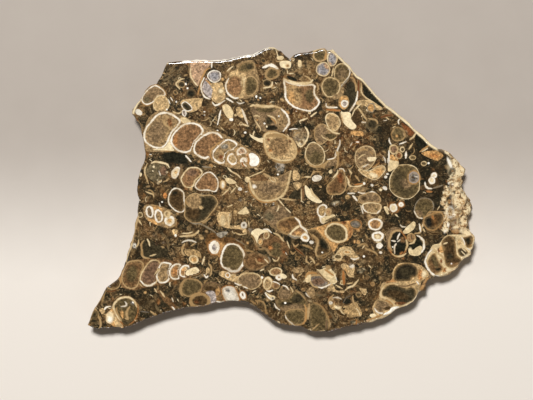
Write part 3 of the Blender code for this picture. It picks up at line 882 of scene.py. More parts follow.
def rightSide():
    oval("olive", 272, 131, 1.6, 1.55, wall="sand")
    spot("honey", 269, 127, 0.35)
    blob("rust", [280, 158, 303, 143, 309, 133, 298, 127, 282, 149])
    spot("taupe", 289, 132, 0.6, 0.9)
    line("white", 0.32, 275, 166, 272, 160, 274, 154)
    line("cream", 0.37, 314, 135, 310, 128, 299, 118)
    line("cream", 0.32, 306, 110, 297, 96)
    blob("night", [315, 132, 343, 109, 323, 99, 312, 112])
    oval("mauve", 262, 96, 0.95, 1, thick=0.32, wall="ivory")
    oval("bark", 282, 96, 0.5, 0.55, wall="cream")
    blob("honey", [253, 84, 265, 80, 274, 66, 262, 52, 252, 66])
    blob("ivory", [251, 72, 260, 70, 273, 68, 272, 58, 258, 47, 249, 46])
    oval("rust", 274, 82, 0.7, 0.75, wall="ivory")
    line("white", 0.32, 251, 122, 252, 114, 256, 107)
    line("white", 0.3, 251, 94, 251, 58)
    line("white", 0.32, 275, 108, 291, 114)
    line("white", 0.55, 291, 91, 290, 76)
    oval("olive", 306, 77, 0.7, 0.5, wall="ivory", thick=0.2)
    oval("night", 332, 63, 0.6, 0.5, wall="ivory", thick=0.22)
    spot("white", 343, 64, 0.3, 0.25, soft=0.1)
    line("cream", 0.32, 327, 91, 341, 99)
    line("honey", 0.3, 322, 90, 345, 106)
    blob("honey", [326, 88, 360, 93, 377, 82, 364, 70, 345, 76])
    spot("orange", 356, 81, 1.2, 0.5, -10, soft=0.4, strength=0.8)
    spot("bark", 372, 92, 0.8, 0.4, -25)
    cell("tan", [181, 50, 205, 46, 222, 56, 238, 58, 243, 50, 236, 38, 222, 26, 206, 29, 189, 39],
         wall="cream", thick=0.15)
    spot("honey", 226, 41, 1.3, 1.1, 30, soft=0.8)
    spot("cream", 216, 36, 1, 0.5, -20, soft=0.5)
    cell("olive", [270, 56, 280, 60, 303, 59, 319, 45, 322, 10, 318, -3, 304, -16, 290, -19, 272, -14,
                   259, -4, 253, 8, 255, 34], wall="cream", thick=0.2)
    spot("taupe", 290, 16, 1.4, 1, -30, soft=0.7)
    spot("moss", 272, 24, 1.3, 2.6, 10, soft=0.9, strength=0.6)
    spot("moss", 296, -4, 1.8, 0.9, 10, soft=0.9, strength=0.5)
    oval("steel", 309, 31, 1.1, 1.25, wall="lilac", thick=0.28, stain="honey", reach=0.6)
    spot("umber", 307, 31, 0.35, 0.3)
    line("milk", 0.3, 311, 33, 319, 32)
    spot("milk", 248, 39, 0.4, 0.25, soft=0.1)
    spot("milk", 244, 32, 0.4, 0.35, soft=0.1)
    cell("taupe", [173, 84, 182, 98, 198, 104, 214, 98, 220, 84, 218, 68, 206, 52, 190, 48, 176, 60],
         wall="ivory", thick=0.2)
    for colour, *places in (("tan", 180, 90, 190, 96, 202, 94), ("ivory", 180, 74, 188, 82, 196, 84),
                            ("tan", 182, 66, 192, 68), ("ivory", 186, 54, 196, 60, 208, 60),
                            ("sand", 206, 92, 214, 84)):
        line(colour, 0.3, *places)
    blob("cream", [201, 77, 221, 78, 219, 71, 206, 68])
    line("milk", 0.35, 191, 55, 203, 62)
    line("honey", 0.25, 229, 66, 222, 59, 212, 54)
    line("milk", 0.25, 238, 79, 242, 73, 243, 65)


def leftMiddle():
    oval("sage", -288, 44, 2.5, 2.1, wall="moss", thick=0.1)
    line("cream", 0.37, -300, 64, -288, 67, -264, 62, -258, 54)
    line("ivory", 0.25, -309, 64, -315, 44, -306, 16)
    for x, y, size in ((-294, 56, 0.28), (-296, 46, 0.22), (-264, 43, 0.28)):
        spot("cream", x, y, size, soft=0.1)
    spot("mauve", -271, 46, 0.9, 1.1, soft=0.4)
    line("milk", 0.24, -282, 46, -278, 34)
    spot("cream", -284, 20, 0.3, 0.5)
    line("tan", 0.32, -258, 29, -264, 24, -272, 21)
    spot("night", -319, 16, 0.9, 1.5)
    spot("cream", -325, 38, 0.35, 0.5, soft=0.1)
    cell("cream", [-252, 42, -240, 54, -234, 50, -242, 32, -249, 31], thick=0.35)
    spot("honey", -243, 43, 0.35)
    line("taupe", 0.6, -231, 60, -231, 20)
    cell("chestnut", [-228, 34, -213, 52, -192, 53, -182, 41, -198, 24, -204, 10, -220, 9, -230, 24],
         thick=0.32, wall="cream")
    spot("mauve", -206, 42, 1.3, 0.8, soft=0.4)
    cell("chestnut", [-198, 12, -189, 26, -176, 40, -160, 42, -145, 22, -150, -1, -168, 2, -189, 2],
         thick=0.32)
    oval("white", -134, 14, 0.4, 0.85, wall="cream", thick=0.3, stain="honey", reach=0.4)
    cell("umber", [-256, -4, -243, 6, -226, -3, -224, -22, -222, -42, -232, -50, -248, -43, -260, -26],
         thick=0.3)
    spot("night", -246, -5, 0.7, 0.4)
    spot("orange", -268, -11, 0.5, 0.7, soft=0.1)
    blob("clay", [-316, -34, -296, -32, -266, -40, -246, -58, -242, -78, -260, -87, -286, -80, -310, -68,
                  -318, -50])
    spot("honey", -286, -42, 1.6, 0.6, -20)
    spot("honey", -294, -72, 1.6, 0.6, -20)
    oval("cream", -258, -70, 0.95, 1.0, thick=0.5)
    oval("taupe", -304, -49, 0.72, 1.25, 8, thick=0.42)
    oval("clay", -283, -59, 0.8, 1.4, 8, thick=0.42)
    oval("tan", -263, -54, 0.6, 0.65, thick=0.42, wall="ivory")
    spot("honey", -258, -70, 0.5)
    line("milk", 0.24, -282, -28, -279, -38)
    spot("white", -275, -26, 0.25, soft=0.1)
    line("ivory", 0.24, -314, -1, -304, -6, -296, -8, -294, -16)
    line("cream", 0.3, -333, -63, -322, -80)
    cell("moss", [-182, -11, -158, -11, -146, -28, -159, -49, -177, -69, -200, -75, -221, -63, -222, -44,
                  -219, -19, -200, -6], wall="tan")
    spot("umber", -204, -52, 1.6, soft=1.2)
    spot("moss", -166, -28, 1.4, soft=1)
    spot("clay", -201, -24, 1.7, 1.9, soft=0.6)
    spot("tan", -185, -39, 0.5, 0.35)
    spot("cream", -183, -9, 0.5, 0.3)
    line("tan", 0.24, -220, -19, -218, -28, -212, -38)
    line("grey", 0.32, -182, 56, -160, 54)


def middleHash():
    blob("ivory", [-128, 29, -115, 28, -102, 18, -122, 17])
    line("rust", 0.35, -130, -9, -121, -1)
    line("ivory", 0.27, -136, -11, -123, 1, -118, 8)
    line("ivory", 0.27, -104, 8, -116, -6)
    line("cream", 0.27, -123, 54, -114, 45, -101, 38, -92, 29)
    spot("milk", -94, 4, 0.5, 0.4, soft=0.1)
    line("white", 0.3, -83, -2, -77, -2)
    spot("orange", -100, -14, 0.35)
    spot("milk", -92, -22, 0.4, 0.3)
    line("cream", 0.37, -124, -38, -112, -33)
    blob("ivory", [-100, -52, -86, -41, -81, -37, -73, -51, -85, -55])
    blob("tan", [-146, -53, -123, -49, -113, -55, -120, -80, -142, -80])
    line("white", 0.3, -118, -54, -118, -60)
    spot("ivory", -77, 26, 0.6, 0.7, soft=0.1)


def bowlShell():
    blob("clay", [-70, 19, -64, 0, -46, -20, -22, -21, 0, -12, 17, 17, 24, 46, 0, 36, -25, 30, -40, 39,
                  -69, 29])
    spot("taupe", -24, 6, 2.6, 1.4, soft=0.8)
    line("ivory", 0.5, -72, 22, -68, 5, -60, -9, -46, -22, -22, -23, 0, -14, 14, 4, 24, 46)
    line("honey", 0.22, -75, 19, -71, 0, -54, -21, -34, -27, -10, -24)
    blob("brown", [-69, 29, -48, 39, -32, 30, -29, 24, -62, 23])
    spot("milk", -61, 10, 0.5, 0.4)
    oval("clay", -18, 26, 0.8, 0.4, -35, wall="cream", thick=0.2)
    spot("taupe", 6, 28, 0.9, 0.8, soft=0.4)
    spot("bark", -22, 54, 0.4, 0.7)
    line("tan", 0.32, -42, 42, -20, 30)
    line("ivory", 0.25, -73, 32, -42, 45, -35, 54)
    spot("milk", -1, 56, 1, 1.4, soft=0.5)
    spot("white", -6, 38, 0.25, soft=0.1)
    blob("tan", [29, 46, 37, 47, 46, 33, 38, 24, 29, 25])
    blob("tan", [30, 19, 45, 19, 49, 12, 39, 2, 32, 8])
    blob("moss", [18, -14, 32, 1, 45, -4, 46, -19, 19, -17])
    line("ivory", 0.22, 48, 6, 49, -24)
    line("rust", 0.3, 52, 8, 52, -20)
    blob("cream", [56, 8, 61, 11, 83, -16, 96, -24, 90, -29, 74, -24, 60, -12])
    line("ivory", 0.4, 70, 6, 76, -8, 90, -20)
    line("cream", 0.45, 56, 32, 70, 32)
    oval("milk", 84, 29, 1.05, 0.65, 10, thick=0.2)
    line("tan", 0.25, 70, 33, 78, 43, 94, 45)
    line("ivory", 0.22, 1, -18, 32, -22)
    line("cream", 0.32, -5, -20, 8, -36)
    for x, y, half in ((-16, -28, 2), (-16, -32, 2), (-34, -31, 2)):
        line("white", 0.17, x - half, y, x + half, y)


def nearBowl():
    cell("olive", [57, 84, 65, 107, 79, 112, 96, 99, 102, 82, 98, 66, 84, 58, 69, 64], wall="cream")
    spot("taupe", 76, 96, 2, 1.6, soft=1.2, strength=0.7)
    spot("olive", 81, 82, 1, 1.1, soft=1)
    line("tan", 0.4, 56, 82, 62, 67, 74, 57, 88, 56, 102, 62, 112, 71, 124, 75, 130, 84, 130, 92)
    line("white", 0.3, 109, 72, 124, 76, 129, 83)
    blob("taupe", [104, 56, 129, 60, 130, 72, 116, 69])
    line("tan", 0.35, 133, 90, 133, 70, 130, 52)
    cell("brown", [107, 5, 112, 15, 126, 30, 134, 46, 144, 50, 149, 36, 152, 20, 150, 4, 140, -7, 124, -8,
                   112, -7], wall="tan")
    spot("brown", 132, 10, 1.5, 1.2, soft=0.7)
    spot("rust", 138, 30, 0.6, 1.3, 10, soft=0.5)
    spot("umber", 127, -3, 0.5, 0.4)
    line("cream", 0.3, 121, 29, 132, 42, 131, 48)
    spot("honey", 121, 30, 0.4, 0.5)
    line("white", 0.22, 136, 51, 144, 51, 149, 44)
    line("cream", 0.3, 121, -11, 119, -17)
    line("cream", 0.35, 152, 34, 157, 24, 159, 14, 166, 9, 184, 11, 194, 16)
    line("orange", 0.5, 172, 14, 192, 17)
    spot("white", 194, 17, 0.3, soft=0.1)
    line("ivory", 0.3, 158, 50, 164, 40, 161, 31)
    spot("cream", 156, 59, 0.7, 0.35, -10)
    blob("ivory", [112, 46, 119, 50, 120, 42, 114, 40])
    blob("umber", [162, 34, 176, 46, 182, 26, 170, 15])
    line("tan", 0.35, 173, 36, 183, 22)
    blob("clay", [159, 8, 174, 9, 206, 6, 196, 1, 164, -4])
    line("milk", 0.45, 156, -6, 172, -6)
    line("white", 0.6, 168, -12, 178, -23)
    spot("cream", 129, -29, 1.2, 0.4, 10, soft=0.4)
    for name, x, y, size in (("milk", 212, 13, 0.4), ("cream", 232, 2, 0.4), ("milk", 242, 6, 0.6)):
        spot(name, x, y, size, size * 0.7, -30, soft=0.15)


def lowerLeft():
    cell("umber", [-406, -223, -395, -215, -382, -206, -374, -209, -375, -221, -384, -229, -398, -229],
         wall="tan")
    line("tan", 0.35, -372, -226, -367, -220, -369, -205)
    line("rust", 0.25, -404, -235, -394, -235, -384, -232)
    line("sand", 0.25, -417, -263, -412, -245, -407, -234)
    for name, x, y, size in (("tan", -415, -267, 0.3), ("ivory", -398, -255, 0.3),
                             ("tan", -406, -258, 0.25)):
        spot(name, x, y, size, soft=0.2)
    spot("tan", -416, -281, 0.7, 0.7, -40, soft=0.1)
    line("white", 0.5, -410, -277, -406, -272, -396, -270)
    line("tan", 0.35, -432, -276, -426, -289, -419, -312, -424, -323)
    line("bark", 0.3, -425, -278, -413, -302)
    oval("moss", -434, -290, 0.7, 1, -20, wall="olive", thick=0.2)
    blob("honey", [-408, -290, -396, -278, -388, -273, -383, -286, -376, -304, -366, -319, -384, -322,
                   -394, -313, -406, -307])
    blob("tan", [-389, -272, -384, -288, -376, -304, -368, -318, -382, -320, -388, -304])
    spot("cream", -398, -296, 0.95, 1.4, -8, soft=0.9)
    spot("white", -398, -301, 0.55, 0.7, soft=0.7)
    cell("olive", [-371, -306, -382, -290, -388, -272, -382, -259, -369, -250, -354, -250, -342, -258,
                   -335, -270, -334, -280, -338, -294, -346, -306, -360, -311], wall="night", thick=0.1,
         stain="orange", reach=0.5)
    line("cream", 0.42, -374, -304, -383, -288, -390, -270, -383, -258, -370, -250, -354, -249, -341, -258,
         -335, -272)
    spot("steel", -345, -263, 0.5, 0.3, -40)
    spot("white", -344, -261, 0.3, 0.2, -40, soft=0.1)
    line("tan", 0.3, -381, -271, -382, -282, -370, -306)
    line("milk", 0.35, -372, -271, -361, -269, -359, -264, -363, -259)
    line("tan", 0.4, -351, -270, -357, -280, -359, -290, -356, -300, -363, -298)
    spot("honey", -369, -289, 0.4, 0.9, 10)
    oval("moss", -360, -308, 0.8, 0.6, wall="olive", thick=0.15)
    spot("tan", -328, -275, 0.6, 0.5)
    cell("moss", [-310, -112, -284, -126, -270, -130, -262, -140, -270, -153, -294, -156, -314, -156,
                  -322, -140, -324, -128], wall="night", thick=0.1)
    line("tan", 0.35, -317, -115, -324, -126, -322, -140, -322, -150, -316, -156, -304, -158)
    line("cream", 0.4, -310, -112, -306, -120, -304, -129)
    line("ivory", 0.3, -304, -152, -289, -148)
    line("sage", 0.25, -276, -98, -266, -110, -261, -124, -261, -140)
    for name, x, y, size in (("pink", -294, -104, 0.3), ("ivory", -288, -114, 0.25),
                             ("mauve", -289, -124, 0.35), ("steel", -272, -121, 0.35),
                             ("sand", -273, -130, 0.4), ("ivory", -250, -125, 0.25),
                             ("sage", -313, -102, 0.4)):
        spot(name, x, y, size, size * 0.8, soft=0.2)
    line("ivory", 0.35, -330, -114, -331, -124, -336, -132)
    spot("white", -341, -128, 0.7, 0.6)
    spot("sand", -343, -142, 0.5, 0.9, -20)
    spot("sand", -339, -106, 0.5, 1.5, soft=0.4, strength=0.8)
    line("sage", 0.4, -327, -90, -329, -108)
    line("taupe", 0.3, -259, -88, -245, -106)
    blob("tan", [-252, -92, -240, -91, -241, -105, -245, -108])
    spot("white", -244, -104, 0.3, 0.35, soft=0.1)
    line("ivory", 0.45, -234, -106, -206, -104, -194, -98, -190, -92)
    line("cream", 0.3, -229, -99, -214, -99, -204, -96)
    line("milk", 0.35, -229, -121, -220, -116, -208, -116, -196, -120)
    line("tan", 0.4, -223, -123, -229, -136, -227, -146, -222, -151)
    blob("sand", [-224, -138, -206, -136, -189, -142, -184, -156, -194, -154, -216, -152])
    spot("umber", -206, -129, 1.3, 0.4)
    line("tan", 0.25, -209, -129, -198, -122)
    oval("tan", -202, -160, 1.0, 0.85, -25, wall="cream", thick=0.3)
    spot("honey", -201, -160, 0.55, 0.5)
    line("cream", 0.5, -177, -154, -182, -171)
    line("tan", 0.3, -168, -169, -162, -177, -161, -192, -165, -200)
    spot("tan", -169, -186, 0.5, 0.7, soft=0.1)
    line("white", 0.45, -178, -196, -173, -203, -169, -199)


def lowerSpire():  # six chambers towards the left
    blob("brown", [-372, -214, -362, -170, -330, -160, -280, -158, -240, -166, -200, -176, -184, -190,
                   -206, -204, -244, -210, -280, -220, -314, -226, -344, -232, -366, -226])
    line("honey", 0.5, -372, -215, -369, -195, -360, -174)
    cell("brown", [-356, -169, -344, -164, -328, -164, -319, -172, -324, -190, -333, -220, -344, -228,
                   -358, -225, -367, -214, -368, -194], wall="tan", thick=0.3)
    spot("olive", -346, -194, 1.3, 2, -10, soft=0.9)
    cell("mauve", [-310, -172, -300, -163, -286, -163, -279, -174, -286, -194, -289, -212, -300, -221,
                   -314, -220, -326, -209, -323, -192], wall="ivory", thick=0.3)
    line("white", 0.4, -327, -209, -316, -220, -303, -221, -291, -213)
    cell("clay", [-279, -172, -266, -168, -252, -174, -250, -186, -257, -202, -268, -213, -282, -213,
                  -288, -198], thick=0.35)
    line("ivory", 0.25, -284, -184, -294, -196)
    cell("clay", [-250, -175, -239, -171, -230, -178, -236, -202, -246, -206, -255, -201, -258, -188],
         thick=0.35)
    cell("tan", [-229, -178, -220, -174, -212, -179, -214, -192, -222, -200, -232, -198, -234, -188],
         thick=0.35)
    spot("orange", -246, -188, 0.8, 1.2, -15, soft=0.9, strength=0.7)
    spot("orange", -226, -188, 0.5, 0.8, -15, soft=0.7, strength=0.7)
    blob("cream", [-218, -186, -198, -178, -189, -185, -189, -194, -198, -199, -210, -199, -220, -196])
    spot("ivory", -202, -188, 0.8, 0.6, soft=0.5)
    line("tan", 0.35, -329, -216, -322, -224)
    line("umber", 0.4, -208, -202, -188, -196, -179, -185)
    blob("brown", [-294, -227, -286, -231, -276, -234, -266, -246, -256, -253, -250, -264, -244, -274,
                   -251, -279, -259, -269, -272, -258, -282, -242, -290, -238])
    line("ivory", 0.35, -294, -228, -288, -237)
    line("ivory", 0.35, -280, -234, -269, -249)
    line("white", 0.3, -253, -250, -250, -259)
    line("white", 0.5, -253, -271, -247, -277)
    line("rust", 0.25, -252, -262, -245, -272)
    spot("sand", -292, -252, 0.4, 0.7)
    spot("tan", -298, -258, 0.35, 0.3)
    line("sage", 0.25, -293, -264, -286, -278, -274, -286)
    line("tan", 0.3, -304, -281, -296, -287, -288, -290)
    line("steel", 0.2, -326, -282, -306, -284)


def lowerMiddle():
    # the pale shell, its dark neighbour and the rust between them
    blob("loam", [-172, -106, -156, -98, -136, -108, -114, -109, -90, -120, -82, -146, -90, -180,
                  -114, -188, -134, -176, -144, -154, -162, -142, -174, -126])
    spot("honey", -142, -142, 2.2, 2.4, soft=0.5, strength=0.9)
    spot("umber", -146, -165, 0.8, 1.6, 30, soft=0.5)
    oval("lilac", -154, -132, 0.85, 1.15, thick=0.75, stain="orange", reach=0.7)
    cell("olive", [-127, -129, -116, -124, -100, -127, -89, -139, -84, -155, -88, -172, -98, -186,
                   -110, -188, -121, -182, -132, -179, -138, -167, -136, -148], thick=0.42, stain="rust",
         reach=0.5)
    line("milk", 0.6, -126, -182, -114, -188, -100, -186, -92, -176)
    blob("tan", [-145, -60, -132, -56, -116, -60, -118, -80, -96, -80, -89, -74, -80, -90, -100, -89,
                 -128, -86, -140, -78])
    spot("ivory", -134, -70, 0.6, 1.3, soft=0.5, strength=0.8)
    line("ivory", 0.4, -122, -58, -121, -79)
    oval("steel", -85, -80, 0.5, 0.6, wall="milk", thick=0.42)
    spot("tan", -83, -95, 0.6, 0.45, soft=0.1)
    line("ivory", 0.22, -108, -96, -98, -101, -89, -102, -78, -100)
    blob("grey", [-150, -100, -132, -95, -122, -97, -132, -106, -140, -110])
    line("grey", 0.25, -210, -73, -199, -77, -186, -77, -160, -91, -150, -99)
    line("sand", 0.3, -182, -76, -162, -63)
    line("grey", 0.2, -106, -112, -82, -126)
    line("sand", 0.25, -86, -138, -72, -140, -60, -144)
    spot("umber", -148, -178, 0.5, 1.2)
    spot("milk", -71, -91, 0.4, 0.3)
    line("ivory", 0.3, -74, -72, -73, -83)
    # the pale grainy spire that ends in a broken chamber
    blob("tan", [-144, -193, -134, -187, -122, -190, -114, -196, -106, -195, -100, -200, -90, -192,
                 -81, -188, -74, -194, -76, -208, -90, -219, -104, -216, -138, -200])
    oval("honey", -123, -197, 0.5, 0.55)
    oval("sand", -110, -201, 0.6, 0.5, wall="ivory", thick=0.22)
    cell("taupe", [-97, -202, -84, -194, -68, -192, -52, -196, -44, -208, -50, -222, -66, -230, -84, -224,
                   -98, -216], wall="ivory")
    line("white", 0.3, -107, -215, -96, -220, -91, -219)
    line("white", 0.3, -88, -223, -76, -228)
    # the row along the lower edge
    cell("olive", [-229, -214, -216, -206, -196, -208, -184, -218, -186, -234, -202, -244, -218, -246,
                   -230, -236], wall="sand", thick=0.3)
    line("sand", 0.45, -223, -208, -232, -222, -233, -236, -228, -246)
    cell("umber", [-182, -228, -172, -216, -156, -214, -144, -220, -140, -234, -146, -246, -160, -242,
                   -176, -236], wall="mauve")
    line("taupe", 0.3, -170, -222, -158, -220, -149, -226)
    blob("lilac", [-174, -237, -157, -234, -150, -246, -152, -260, -164, -262, -166, -248])
    spot("honey", -143, -240, 0.9, 1.4, soft=0.4)
    cell("umber", [-206, -252, -196, -243, -180, -243, -169, -252, -168, -262, -178, -270, -196, -270,
                   -207, -263], wall="sand", thick=0.55, stain="honey", reach=0.4)
    spot("rust", -196, -260, 0.5, 0.4, strength=0.8)
    cell("milk", [-134, -234, -124, -225, -110, -227, -103, -240, -99, -256, -124, -258], wall="milk",
         thick=0.4, stain="orange", reach=0.5)
    spot("steel", -124, -232, 0.6, 0.4, -30, soft=0.5)
    oval("mauve", -88, -244, 0.45, 0.7, 15, thick=0.5, stain="orange", reach=0.5)
    line("white", 0.35, -149, -258, -140, -261, -129, -259)
    line("sand", 0.3, -70, -256, -56, -266)


def middleSpires():
    # the dark spire that runs down to the right
    blob("taupe", [-40, -56, -30, -42, -8, -34, 12, -40, 25, -54, 20, -64, 0, -68, -10, -87, -26, -77,
                   -38, -66])
    spot("sage", -26, -60, 1.2, 1, -20, soft=0.8)
    line("taupe", 0.3, -42, -64, -36, -70, -2, -94, 8, -99)
    line("cream", 0.27, -4, -33, -5, -41, -9, -48)
    line("cream", 0.25, 10, -38, 24, -52)
    cell("brown", [-7, -80, 0, -69, 30, -61, 42, -70, 46, -80, 30, -90, 24, -100, 10, -99, -2, -90],
         wall="sand", thick=0.35)
    spot("loam", 26, -72, 1.3, 0.8, -30, soft=0.6, strength=0.7)
    spot("honey", 10, -90, 1, 0.6, -25, soft=0.5, strength=0.6)
    cell("chestnut", [42, -83, 52, -85, 59, -94, 54, -103, 42, -107, 22, -102], wall="cream", thick=0.4)
    spot("honey", 43, -100, 0.9, 0.5, -20, soft=0.4)
    line("white", 0.4, 33, -62, 43, -71, 47, -82, 54, -87, 61, -95, 62, -101)
    line("grey", 0.4, 18, -102, 32, -109, 46, -108)
    oval("tan", 57, -109, 0.85, 0.7, -20, thick=0.5)
    spot("honey", 57, -110, 0.4)
    spot("milk", 72, -120, 0.55, 0.4, -10, soft=0.1)
    # the pale tip above the grainy body
    blob("brown", [-50, -102, -34, -94, -19, -102, 2, -112, 18, -124, 21, -136, 16, -154, 0, -162,
                   -16, -156, -28, -146, -38, -134, -52, -126])
    spot("olive", -9, -128, 1.1, 0.8, -20, soft=0.6)
    spot("olive", -10, -145, 1.4, 1, soft=0.6)
    blob("cream", [-69, -100, -61, -90, -50, -88, -42, -91, -34, -89, -24, -94, -48, -102, -56, -127,
                   -62, -114])
    line("white", 0.3, -40, -90, -30, -90, -21, -98)
    line("clay", 0.35, -69, -102, -61, -112, -55, -127, -44, -129)
    line("ivory", 0.3, -17, -98, -4, -104, 8, -119)
    line("cream", 0.3, 15, -117, 21, -134)
    line("clay", 0.35, -53, -133, -46, -136, -36, -134, -21, -152)
    oval("honey", -47, -119, 0.5, 0.7, wall="ivory", thick=0.2)
    oval("chestnut", -33, -104, 0.6, 0.8, -15, wall="ivory", thick=0.22)
    for name, x, y, size in (("orange", -24, -132, 0.4), ("umber", -20, -108, 0.25),
                             ("rust", 8, -142, 0.4), ("pink", -39, -112, 0.3), ("milk", -70, -92, 0.5)):
        spot(name, x, y, size, soft=0.25)
    line("ivory", 0.25, -3, -154, -7, -162, -13, -164, -19, -158)
    line("milk", 0.3, 12, -144, 15, -149)
    # brown shells under it, left
    cell("brown", [-82, -152, -62, -144, -44, -148, -28, -158, -24, -166, -34, -174, -50, -184, -70, -184,
                   -86, -172], wall="taupe", thick=0.2, soft=0.2)
    spot("rust", -49, -161, 0.9, 0.6, soft=0.4, strength=0.7)
    line("tan", 0.3, -58, -157, -54, -167, -40, -170)
    line("cream", 0.3, -37, -159, -28, -169)
    line("grey", 0.25, -29, -154, -24, -162, -26, -169)
    line("sand", 0.3, 23, -140, 29, -147, 36, -141)
    line("rust", 0.3, 30, -130, 56, -152)
    line("sand", 0.35, 50, -126, 64, -130, 76, -136)
    line("tan", 0.25, 28, -122, 34, -130, 42, -124)
    spot("moss", 30, -170, 2, 0.8, soft=0.5)


def lowerEdge():
    # the row of small shells under the middle
    oval("chestnut", -11, -189, 1.4, 0.9, 5, wall="cream", thick=0.3)
    oval("honey", -4, -202, 0.55, 0.45, thick=0.5)
    blob("cream", [0, -194, 8, -194, 15, -200, 11, -205, 2, -204])
    spot("tan", 14, -209, 0.7, 0.4, 15)
    oval("tan", -30, -216, 0.9, 1.35, -10, thick=0.33, stain="honey", reach=0.3, wall="cream")
    spot("clay", -30, -215, 0.5, 0.8, soft=0.4)
    spot("honey", -43, -201, 0.6, 0.7)
    spot("white", -43, -202, 0.3, 0.35, soft=0.1)
    oval("chestnut", -11, -221, 0.9, 0.75, wall="tan", thick=0.2)
    line("white", 0.22, -19, -212, -9, -214, -1, -219)
    line("white", 0.35, -33, -233, -26, -235, -18, -232)
    spot("rust", -27, -240, 0.7, 0.2)
    blob("ivory", [-35, -236, -24, -243, -13, -246, -13, -252, -22, -256, -32, -247])
    line("white", 0.35, -36, -238, -30, -247, -20, -255)
    oval("ink", -18, -251, 0.3, 0.25, wall="milk", thick=0.15)
    cell("taupe", [1, -226, 9, -221, 20, -228, 26, -242, 19, -252, 4, -254, -6, -246], wall="sand",
         thick=0.15, soft=0.2)
    line("white", 0.3, 5, -221, 13, -223, 20, -232)
    line("ivory", 0.3, 23, -224, 28, -234, 29, -244)
    spot("moss", 8, -227, 0.4, 0.3)
    line("white", 0.35, -14, -264, -11, -271, -2, -279)
    cell("olive", [-12, -257, 4, -254, 19, -251, 32, -236, 46, -236, 57, -248, 63, -264, 62, -278, 44, -276,
                   20, -278, 2, -278], wall="taupe", thick=0.2)
    spot("taupe", 26, -273, 2.9, 0.8, 5, soft=0.7)
    spot("moss", 40, -252, 1.4, 1, 20, soft=0.7)
    spot("bark", 14, -264, 1.2, 0.4, soft=0.4)
    spot("white", 11, -262, 0.27, soft=0.1)
    cell("olive", [12, -284, 28, -278, 48, -278, 58, -288, 56, -306, 44, -313, 30, -312, 16, -302],
         wall="sand", thick=0.3)
    line("milk", 0.25, 11, -290, 16, -301, 33, -315)
    spot("honey", 6, -309, 0.9, 0.45, -25)
    line("sand", 0.25, -56, -256, -42, -259, -36, -268, -33, -293)
    line("honey", 0.5, 56, -266, 60, -280, 59, -300, 52, -312)
    cell("olive", [71, -264, 80, -262, 103, -280, 109, -294, 110, -310, 108, -324, 90, -329, 76, -328,
                   70, -310, 69, -286], wall="sage")
    line("sand", 0.28, 76, -261, 88, -265, 101, -277, 113, -304, 113, -324)
    line("tan", 0.5, 67, -264, 64, -300)
    line("mauve", 0.25, 107, -302, 107, -324)
    line("tan", 0.22, 90, -311, 73, -326)
    line("cream", 0.25, 86, -330, 103, -327)
    spot("ivory", 69, -257, 0.6, 0.3, -20)
    # the grey chamber with the yellow rim
    cell("steel", [68, -202, 82, -197, 100, -200, 110, -209, 112, -218, 100, -225, 82, -225, 71, -216],
         wall="tan", thick=0.35)
    spot("mauve", 88, -212, 1.6, 0.9, soft=0.8)
    line("white", 0.4, 88, -225, 98, -226, 118, -217)
    blob("ivory", [58, -212, 62, -192, 70, -188, 71, -202, 68, -213])
    blob("cream", [100, -199, 98, -188, 110, -180, 124, -188, 130, -206, 126, -218, 116, -214])
    spot("white", 110, -199, 0.8, 0.7, -40, soft=0.5)
    line("white", 0.25, 129, -202, 131, -212)
    blob("tan", [120, -216, 130, -232, 148, -233, 146, -238, 116, -234, 110, -226])
    line("ivory", 0.3, 128, -220, 145, -229)
    line("cream", 0.35, 150, -233, 158, -226, 170, -221, 182, -207)
    line("ivory", 0.3, 154, -217, 168, -215)
    line("orange", 0.7, 146, -188, 148, -218)
    oval("umber", 113, -232, 0.3, 0.25, wall="tan", thick=0.2)
    blob("clay", [60, -233, 74, -224, 80, -234, 80, -244, 68, -249])
    line("milk", 0.3, 59, -238, 63, -245, 69, -249)
    line("sand", 0.22, 34, -232, 46, -240, 60, -256)
    line("sage", 0.3, 80, -243, 94, -244, 108, -242)
    # the tan ruin of shells near the lower edge
    blob("sand", [114, -254, 122, -250, 130, -269, 146, -268, 158, -268, 170, -260, 178, -262, 186, -276,
                  190, -290, 178, -294, 160, -296, 144, -286, 116, -274])
    line("tan", 0.3, 124, -242, 115, -252, 111, -260)
    oval("steel", 117, -262, 0.3, 0.25, wall="milk", thick=0.35)
    line("milk", 0.4, 122, -250, 132, -249, 142, -253)
    blob("sand", [146, -270, 156, -272, 164, -264, 172, -266, 164, -286, 152, -284])
    blob("umber", [126, -274, 144, -284, 156, -290, 148, -294, 134, -286])
    line("cream", 0.3, 176, -274, 182, -282, 186, -292)
    spot("chestnut", 128, -258, 0.8, 0.5)
    spot("cream", 133, -272, 0.7, 0.5, soft=0.4)
    line("night", 0.3, 143, -270, 147, -277, 151, -274)
    line("ivory", 0.25, 140, -274, 143, -284, 150, -289)
    spot("night", 154, -258, 1.0, 0.7, soft=0.1)
    line("steel", 0.2, 146, -262, 154, -249, 164, -245)
    line("tan", 0.35, 168, -246, 170, -258, 174, -268)
    spot("rust", 173, -234, 0.4, 0.7)
    spot("honey", 172, -306, 1.4, 0.7, 10)
    spot("cream", 169, -307, 0.6, 0.4)
    line("orange", 0.35, 177, -302, 178, -312)
    spot("tan", 148, -310, 0.4, 0.3, -30)
    line("sage", 0.25, 116, -284, 130, -308)
    # small pale shells left of the grey chamber
    line("white", 0.5, 28, -195, 29, -202, 37, -208)
    line("ivory", 0.35, 42, -199, 49, -193)
    blob("clay", [26, -186, 36, -179, 52, -180, 56, -188, 40, -192])


